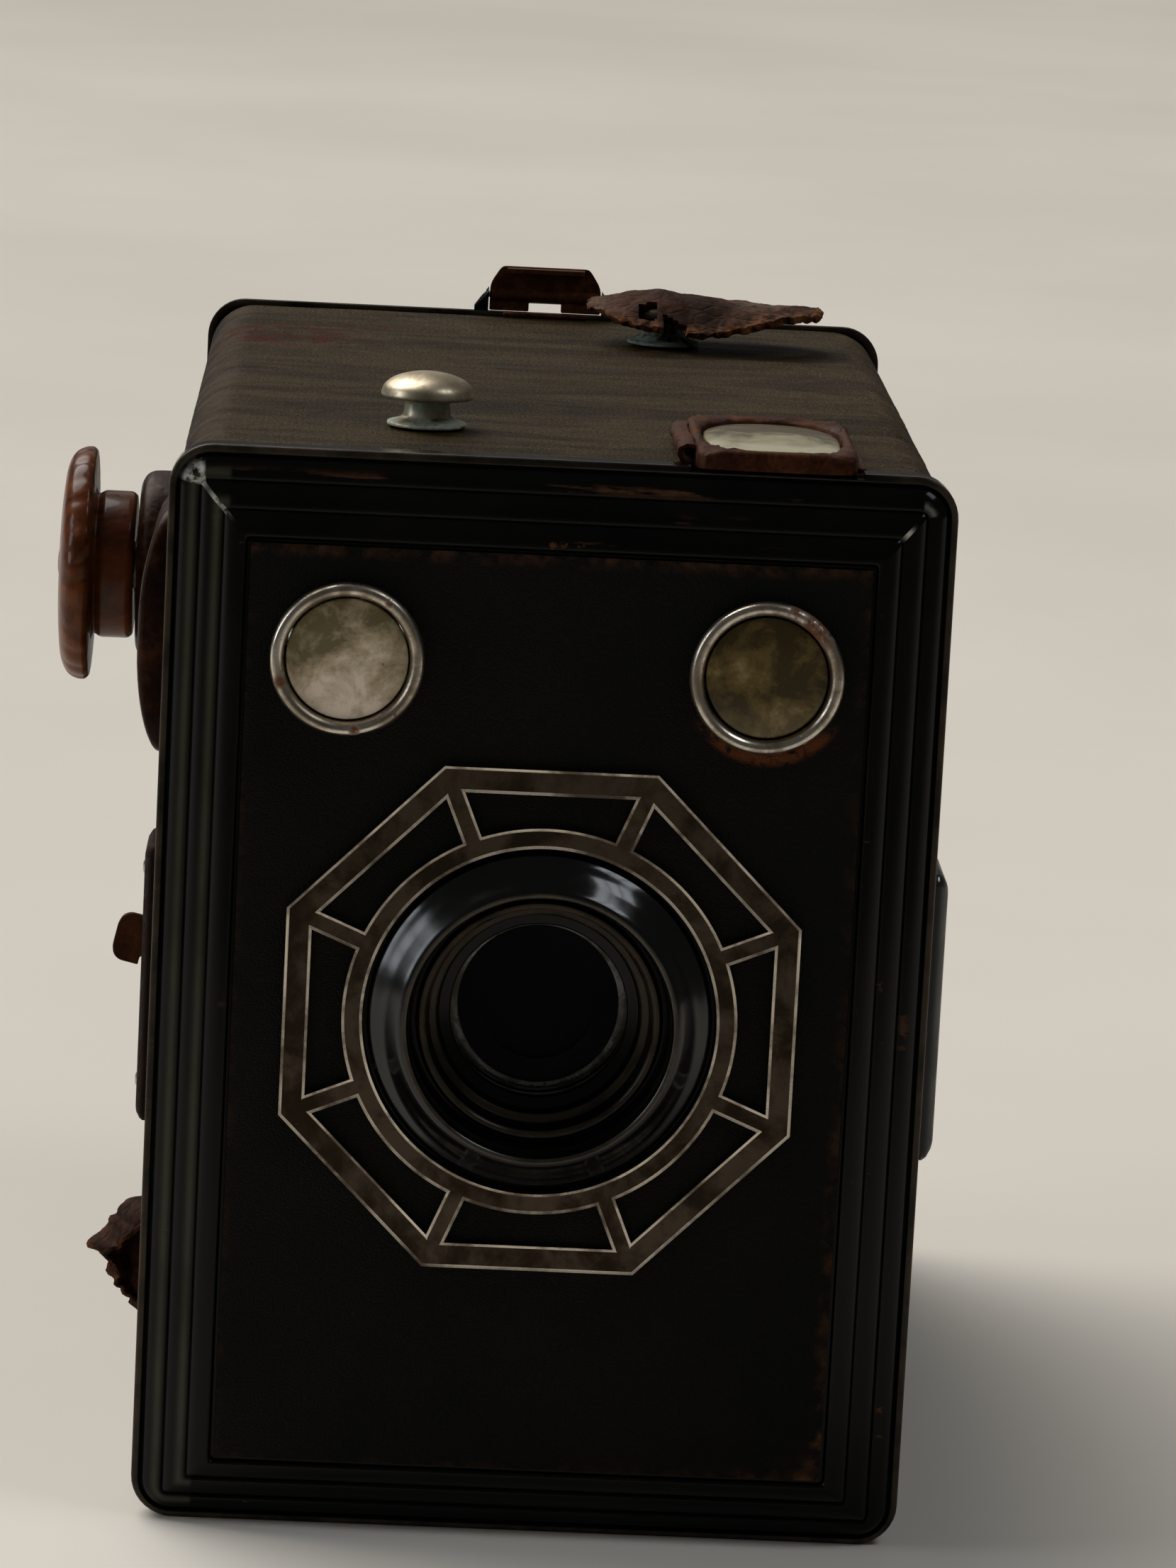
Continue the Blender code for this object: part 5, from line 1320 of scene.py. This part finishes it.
def thread(name, axis, cu, cv, a0, a1, r, pitch, mat, depth=0.28, n=48):
    """Thin threaded sleeve just inside a socket bore."""
    turns = (a1 - a0) / pitch
    steps = int(turns * 8)
    outer, rows_ = [], []
    for s_ in range(steps + 1):
        a = a0 + (a1 - a0) * s_ / steps
        row = []
        for i in range(n):
            t = 2 * math.pi * i / n
            ph = ((a - a0) / pitch - i / n) % 1.0
            q = r - depth * (1 - abs(2 * ph - 1))
            row.append(place(axis, cu + q * math.cos(t), cv + q * math.sin(t), a))
        rows_.append(row)
    back_rows = [[place(axis, cu + (r + 0.02) * math.cos(2 * math.pi * i / n),
                        cv + (r + 0.02) * math.sin(2 * math.pi * i / n), a) for i in range(n)]
                 for a in (a1, a0)]
    lp = rows_ + back_rows
    v_ = [p for q in lp for p in q]
    f_ = []
    for k_ in range(len(lp)):
        l_ = (k_ + 1) % len(lp)
        f_ += [(k_ * n + i, k_ * n + (i + 1) % n, l_ * n + (i + 1) % n, l_ * n + i) for i in range(n)]
    return solid(name, v_, f_, mat, 35)


extra(thread("side_socket_thread", "x", -47.0, LENS_Z, 36.0, 40.9, 4.18, 1.27, STEEL), "camera_body")
extra(thread("base_socket_thread", "z", 0.0, 14.0, 0.5, 6.2, 4.18, 1.27, STEEL), "camera_body")
bp = [level("z", rounded(-14.0, 14.0, -8.0, 26.0, 2.0, 8), 0.0),
      level("z", rounded(-14.0, 14.0, -8.0, 26.0, 2.0, 8), 0.6)]
v, f = skin_data(bp)
bs = solid("base_socket_plate", v, f, SATIN, 40)
cut(bs, [cyl_data("z", 0.0, 14.0, 5.0, 0.3, 6.5, 64)], "UNION", sharp=40)
cut(bs, [cyl_data("z", 0.0, 14.0, 4.2, -1.0, 8.0, 64)], sharp=40)
soften(bs, 0.12, 2, 40, 60, STEEL)
stands_for(bs, "blackened_steel", "tripod_socket_base")
for k, (cx_, cy_) in enumerate(((-11, -5), (11, -5), (-11, 23), (11, 23))):
    rv = lathe("base_rivet_%d" % k, [(0.0, 0.02), (0.7, 0.05), (1.1, 0.18), (1.2, 0.3), (0.0, 0.3)],
               "z", cx_, cy_, STEEL, n=28, r=0.05)
    extra(rv, "camera_body")

# ============================================================== rear door
hy, hz = 59.6, 1.35
ly, lz = 59.2, 113.4


def door_loop(t, y, n=10):
    return level("y", rounded(-39.5 + t, 39.5 - t, 3.0 + t, 111.5 - t, 4.3 - 0.6 * t, n), y)


dl = [level("y", rounded(-38.7, 38.7, 3.8, 110.7, 3.6, 10), 58.7),
      level("y", rounded(-38.7, 38.7, 3.8, 110.7, 3.6, 10), 57.9),
      door_loop(0.0, 57.9), door_loop(0.0, 58.95), door_loop(0.1, 59.15), door_loop(0.3, 59.28),
      door_loop(0.55, 59.3), door_loop(1.0, 59.22), door_loop(1.4, 59.3)]
v, f = skin_data(dl)
n_d = len(dl[0])
crown_d = []
for k in range(len(dl)):
    crown_d += [1.0 if 2 <= k <= 6 else 0.0] * n_d
door = solid("door_pressing", v, f, ENAMEL_DOOR, 50, {"lip": crown_d})
cut(door, [box_data((-38.65, 57.0, 2.0), (38.65, 58.7, 8.2))], sharp=45)
leaf = [(59.2, 6.5), (58.8, 6.5), (58.8, hz + 0.9)]
leaf += [(hy + 1.25 * math.cos(math.radians(a)), hz + 1.25 * math.sin(math.radians(a)))
         for a in range(150, 436, 13)]
leaf += [(59.2, hz + 1.28)]
cut(door, [prism_data(leaf, "x", -11.6, 11.6)], "UNION", sharp=45)
ear = [(58.4, 111.2), (59.25, 111.2), (60.1, 112.6)]
ear += [(ly + 0.9 * math.cos(math.radians(a)), lz + 0.9 * math.sin(math.radians(a)))
        for a in range(0, 181, 15)]
ear_foot = [(y, 111.2 + 0.28 * (z - 111.2)) for y, z in ear]
cut(door, [skin_data([level("x", ear_foot, -8.4), level("x", ear, -6.75)]),
           skin_data([level("x", ear_foot, 8.2), level("x", ear, 6.55)])], "UNION", sharp=45)
cut(door, [cyl_data("x", hy, hz, 0.75, -14, 14, 24), cyl_data("x", ly, lz, 0.52, -9, 9, 20),
           cyl_data("y", 0.0, 40.0, 6.4, 57, 61, 64)], sharp=45)
stands_for(door, "black_enamel", "rear_door")

nx2, nz2 = 60, 84
dv, df, de = [], [], []


def door_cover(i, j, back_side):
    u, v_ = i / nx2 * 2 - 1, j / nz2 * 2 - 1
    x, z = 37.6 * u, 58.8 + 50.8 * v_
    rr = 3.0
    cx_, cz_ = 37.6 - rr, 50.8 - rr
    ax, az = abs(x) - cx_, abs(z - 58.8) - cz_
    if ax > 0 and az > 0:
        m = max(ax, az)
        ln = math.hypot(ax, az)
        x = math.copysign(cx_ + ax * m / ln, x)
        z = 58.8 + math.copysign(cz_ + az * m / ln, z - 58.8)
    d = min(37.6 - abs(37.6 * u), 50.8 - abs(50.8 * v_))
    y = 59.6 if back_side else 60.0 + 0.03 * noise.noise(Vector((x * 0.1, 2.0, z * 0.1))) \
        - 0.12 * max(0.0, 1 - d / 0.8) ** 2
    return (x, y, z), min(1.0, 0.8 * max(0.0, 1 - d / 1.3))


for back_side in (False, True):
    for j in range(nz2 + 1):
        for i in range(nx2 + 1):
            p, w = door_cover(i, j, back_side)
            dv.append(p)
            de.append(w)
tn = (nx2 + 1) * (nz2 + 1)
for j in range(nz2):
    for i in range(nx2):
        a = j * (nx2 + 1) + i
        df.append((a, a + nx2 + 1, a + nx2 + 2, a + 1))
        df.append((tn + a, tn + a + 1, tn + a + nx2 + 2, tn + a + nx2 + 1))
for i in range(nx2):
    for a, b in ((i + 1, i), (nz2 * (nx2 + 1) + i, nz2 * (nx2 + 1) + i + 1)):
        df.append((a, tn + a, tn + b, b))
for j in range(nz2):
    for a, b in ((j * (nx2 + 1), (j + 1) * (nx2 + 1)), ((j + 1) * (nx2 + 1) + nx2, j * (nx2 + 1) + nx2)):
        df.append((a, tn + a, tn + b, b))
dcov = solid("door_cover", dv, df, CASE, 50, {"edge": de})
cut(dcov, [cyl_data("y", 0.0, 40.0, 7.6, 58, 62, 64)], sharp=50)
stands_for(dcov, "case_leatherette", "door_leatherette")
rw = lathe("ruby_pane", [(0.0, 58.9), (6.1, 58.9), (6.1, 59.22, 0.08), (4.0, 59.27), (0.0, 59.3)],
           "y", 0.0, 40.0, RUBY, n=64, r=0.08, sharp=50)
stands_for(rw, "ruby", "red_window")
rr_ = lathe("ruby_eyelet", [(5.4, 59.6), (7.3, 59.6), (7.3, 60.1, 0.2), (6.8, 60.5, 0.3), (5.8, 60.5, 0.3),
                            (5.4, 60.1, 0.2)], "y", 0.0, 40.0, BRIGHT, n=72, r=0.1, seg=4, sharp=50)
stands_for(rr_, "bright_nickel", "red_window_ring")

hinge = [(52.0, 0.3), (58.0, 0.3)]
hinge += [(hy + 1.25 * math.cos(math.radians(a)), hz + 1.25 * math.sin(math.radians(a)))
          for a in range(240, 521, 14)]
hinge += [(58.1, 0.9), (52.0, 0.9)]
v, f = prism_data(hinge, "x", -30.0, 30.0)
hg = solid("door_hinge_leaf", v, f, SATIN, 40)
cut(hg, [box_data((-11.9, 58.15, -1.0), (11.9, 62.0, 4.0))], sharp=40)
cut(hg, [cyl_data("x", hy, hz, 0.75, -31, 31, 24)], sharp=40)
soften(hg, 0.08, 2, 45, 60, STEEL)
stands_for(hg, "blackened_steel", "door_hinge")
for k, cx_ in enumerate((-25, -9, 9, 25)):
    rv = lathe("hinge_rivet_%d" % k, [(0.0, 0.04), (0.6, 0.07), (0.95, 0.2), (1.0, 0.32), (0.0, 0.32)],
               "z", cx_, 54.6, STEEL, n=24, r=0.05)
    extra(rv, "camera_body")
pin = lathe("door_hinge_wire", [(0.0, -29.8), (0.5, -29.8), (0.5, 29.8), (0.0, 29.8)],
            "x", hy, hz, STEEL, n=24, r=0.12)
stands_for(pin, "bare_steel", "door_hinge_pin")

tab = [(-6.62, 111.58, .2), (-2.0, 111.58, .2), (-2.0, 112.7, .25), (1.8, 112.7, .25), (1.8, 111.58, .2),
       (6.42, 111.58, .2), (6.42, 114.6, .8), (5.2, 116.5, .6), (4.8, 116.8, .4), (-5.1, 116.8, .4),
       (-5.5, 116.5, .6), (-6.62, 114.7, .8)]
v, f = prism_data(fillet(tab, 0.3, 4), "y", 58.6, 59.2)
lt = solid("door_latch_tab", v, f, LATCH_RUST, 40)
cut(lt, [cyl_data("x", ly, lz, 0.9, -6.35, 6.15, 28)], "UNION", sharp=40)
cut(lt, [box_data((-4.7, 57.25, 116.2), (4.4, 58.9, 116.7))], "UNION", sharp=40)
cut(lt, [cyl_data("x", ly, lz, 0.52, -7, 7, 20)], sharp=40)
soften(lt, 0.11, 2, 40, 60, EDGE_RUST)
stands_for(lt, "rusted_metal", "rear_latch")
lp_ = lathe("latch_wire", [(0.0, -7.3), (0.4, -7.3), (0.4, 7.1), (0.0, 7.1)], "x", ly, lz, STEEL, n=20, r=0.1)
stands_for(lp_, "bare_steel", "latch_pin")
v, f = prism_data(rounded(-5.0, 5.0, 56.6, 57.4, 0.25, 4), "z", 111.2, 111.6)
lc = solid("latch_keeper", v, f, LATCH_RUST, 40)
soften(lc, 0.1, 2, 40, 60)
stands_for(lc, "rusted_metal", "latch_catch")

# ================================== frame nodes that keep their CAD shape
KEEP = {"body_shell": (BLACKED, 0.0), "light_cone": (SATIN, 0.0), "shutter_board": (BLACKED, 0.1),
        "aperture_plate": (BLACKED, 0.1), "carrier_plate_left": (STEEL, 0.12),
        "carrier_plate_right": (STEEL, 0.12), "finder_housing_top": (BLACKED, 0.12),
        "finder_housing_side": (BLACKED, 0.12), "finder_mirror_top": (MIRROR, 0.08),
        "finder_mirror_side": (MIRROR, 0.08), "lever_pin": (STEEL, 0.0), "lever_spring": (STEEL, 0.0),
        "sector_pin": (STEEL, 0.0), "shutter_sector": (BLACKED, 0.05)}
for node, (mat, bev) in KEEP.items():
    ob = NODES[node]
    if ob.material_slots:
        for s_ in ob.material_slots:
            s_.material = mat
    else:
        ob.data.materials.append(mat)
    if bev:
        m = ob.modifiers.new("edge", "BEVEL")
        m.width = bev * MM
        m.segments = 2
        m.limit_method = "ANGLE"
        m.angle_limit = math.radians(40)

# ============================================================ floor, light
nf = 24
fv, ff = [], []
for j in range(nf + 1):
    for i in range(nf + 1):
        fv.append((-5000 + 10000 * i / nf, -4000 + 10000 * j / nf, 0.0))
for j in range(nf):
    for i in range(nf):
        a = j * (nf + 1) + i
        ff.append((a, a + 1, a + nf + 2, a + nf + 1))
floor = solid("floor", fv, ff, FLOOR, 60)


def softbox(name, where, aim, w, h, power, colour):
    data = bpy.data.lights.new(name, "AREA")
    data.shape = "RECTANGLE"
    data.size, data.size_y = w, h
    data.energy = power
    data.color = colour
    ob = bpy.data.objects.new(name, data)
    scene.collection.objects.link(ob)
    ob.location = where
    ob.rotation_euler = (Vector(aim) - Vector(where)).to_track_quat("-Z", "Y").to_euler()
    return ob


def window(name, where, aim, w, h, panes, power, colour):
    """A soft light split by narrow bars."""
    q = (Vector(aim) - Vector(where)).to_track_quat("-Z", "Y")
    step = h / panes
    for k in range(panes):
        off = q @ Vector((0.0, (k - (panes - 1) / 2) * step, 0.0))
        softbox("%s_%d" % (name, k), Vector(where) + off, Vector(aim) + off, w, step * 0.86,
                power / panes, colour)


window("window_left", (-0.98, -0.19, 0.40), (0, -0.06, 0.055), 0.34, 0.50, 3, 2.3, (0.88, 0.94, 1.0))
window("window_top", (0.59, -0.24, 0.97), (0, -0.06, 0.055), 0.36, 0.36, 3, 1.9, (0.88, 0.94, 1.0))
softbox("sky_back", (-0.1, 1.6, 0.75), (0, 0, 0.10), 1.6, 0.5, 0.9, (1.0, 0.97, 0.92))
sun_data = bpy.data.lights.new("sky_soft", "SUN")
sun_data.energy = 2.75
sun_data.angle = math.radians(50)
sun_data.color = (1.0, 0.985, 0.955)
sun = bpy.data.objects.new("sky_soft", sun_data)
scene.collection.objects.link(sun)
sun.rotation_euler = Vector((0.45, -0.45, -0.77)).to_track_quat("-Z", "Y").to_euler()

world = bpy.data.worlds.new("studio")
scene.world = world
world.use_nodes = True
bg = world.node_tree.nodes["Background"]
bg.inputs["Color"].default_value = (1.0, 0.975, 0.94, 1.0)
bg.inputs["Strength"].default_value = 0.075
scene.view_settings.view_transform = "Standard"
scene.view_settings.look = "None"
scene.view_settings.exposure = 0.0

# ================================================================= camera
F_PX, PITCH, YAW, ROLL = 9111.3797, 0.1955085029, 0.0346942600, 0.0517732379
EYE = Vector((-18.3702919, -697.9388696, 205.1735967)) * MM
fw = Vector((math.sin(YAW) * math.cos(PITCH), math.cos(YAW) * math.cos(PITCH), -math.sin(PITCH)))
right = Vector((math.cos(YAW), -math.sin(YAW), 0.0))
up = right.cross(fw)
r_ = right * math.cos(ROLL) + up * math.sin(ROLL)
u_ = -right * math.sin(ROLL) + up * math.cos(ROLL)
cam_data = bpy.data.cameras.new("camera")
cam = bpy.data.objects.new("camera", cam_data)
scene.collection.objects.link(cam)
cam.matrix_world = Matrix(((r_.x, u_.x, -fw.x, EYE.x), (r_.y, u_.y, -fw.y, EYE.y),
                           (r_.z, u_.z, -fw.z, EYE.z), (0, 0, 0, 1)))
cam_data.sensor_fit = "AUTO"
cam_data.sensor_width = 36.0
cam_data.lens = F_PX / 2212.0 * 36.0
cam_data.clip_start, cam_data.clip_end = 0.02, 60.0
scene.camera = cam
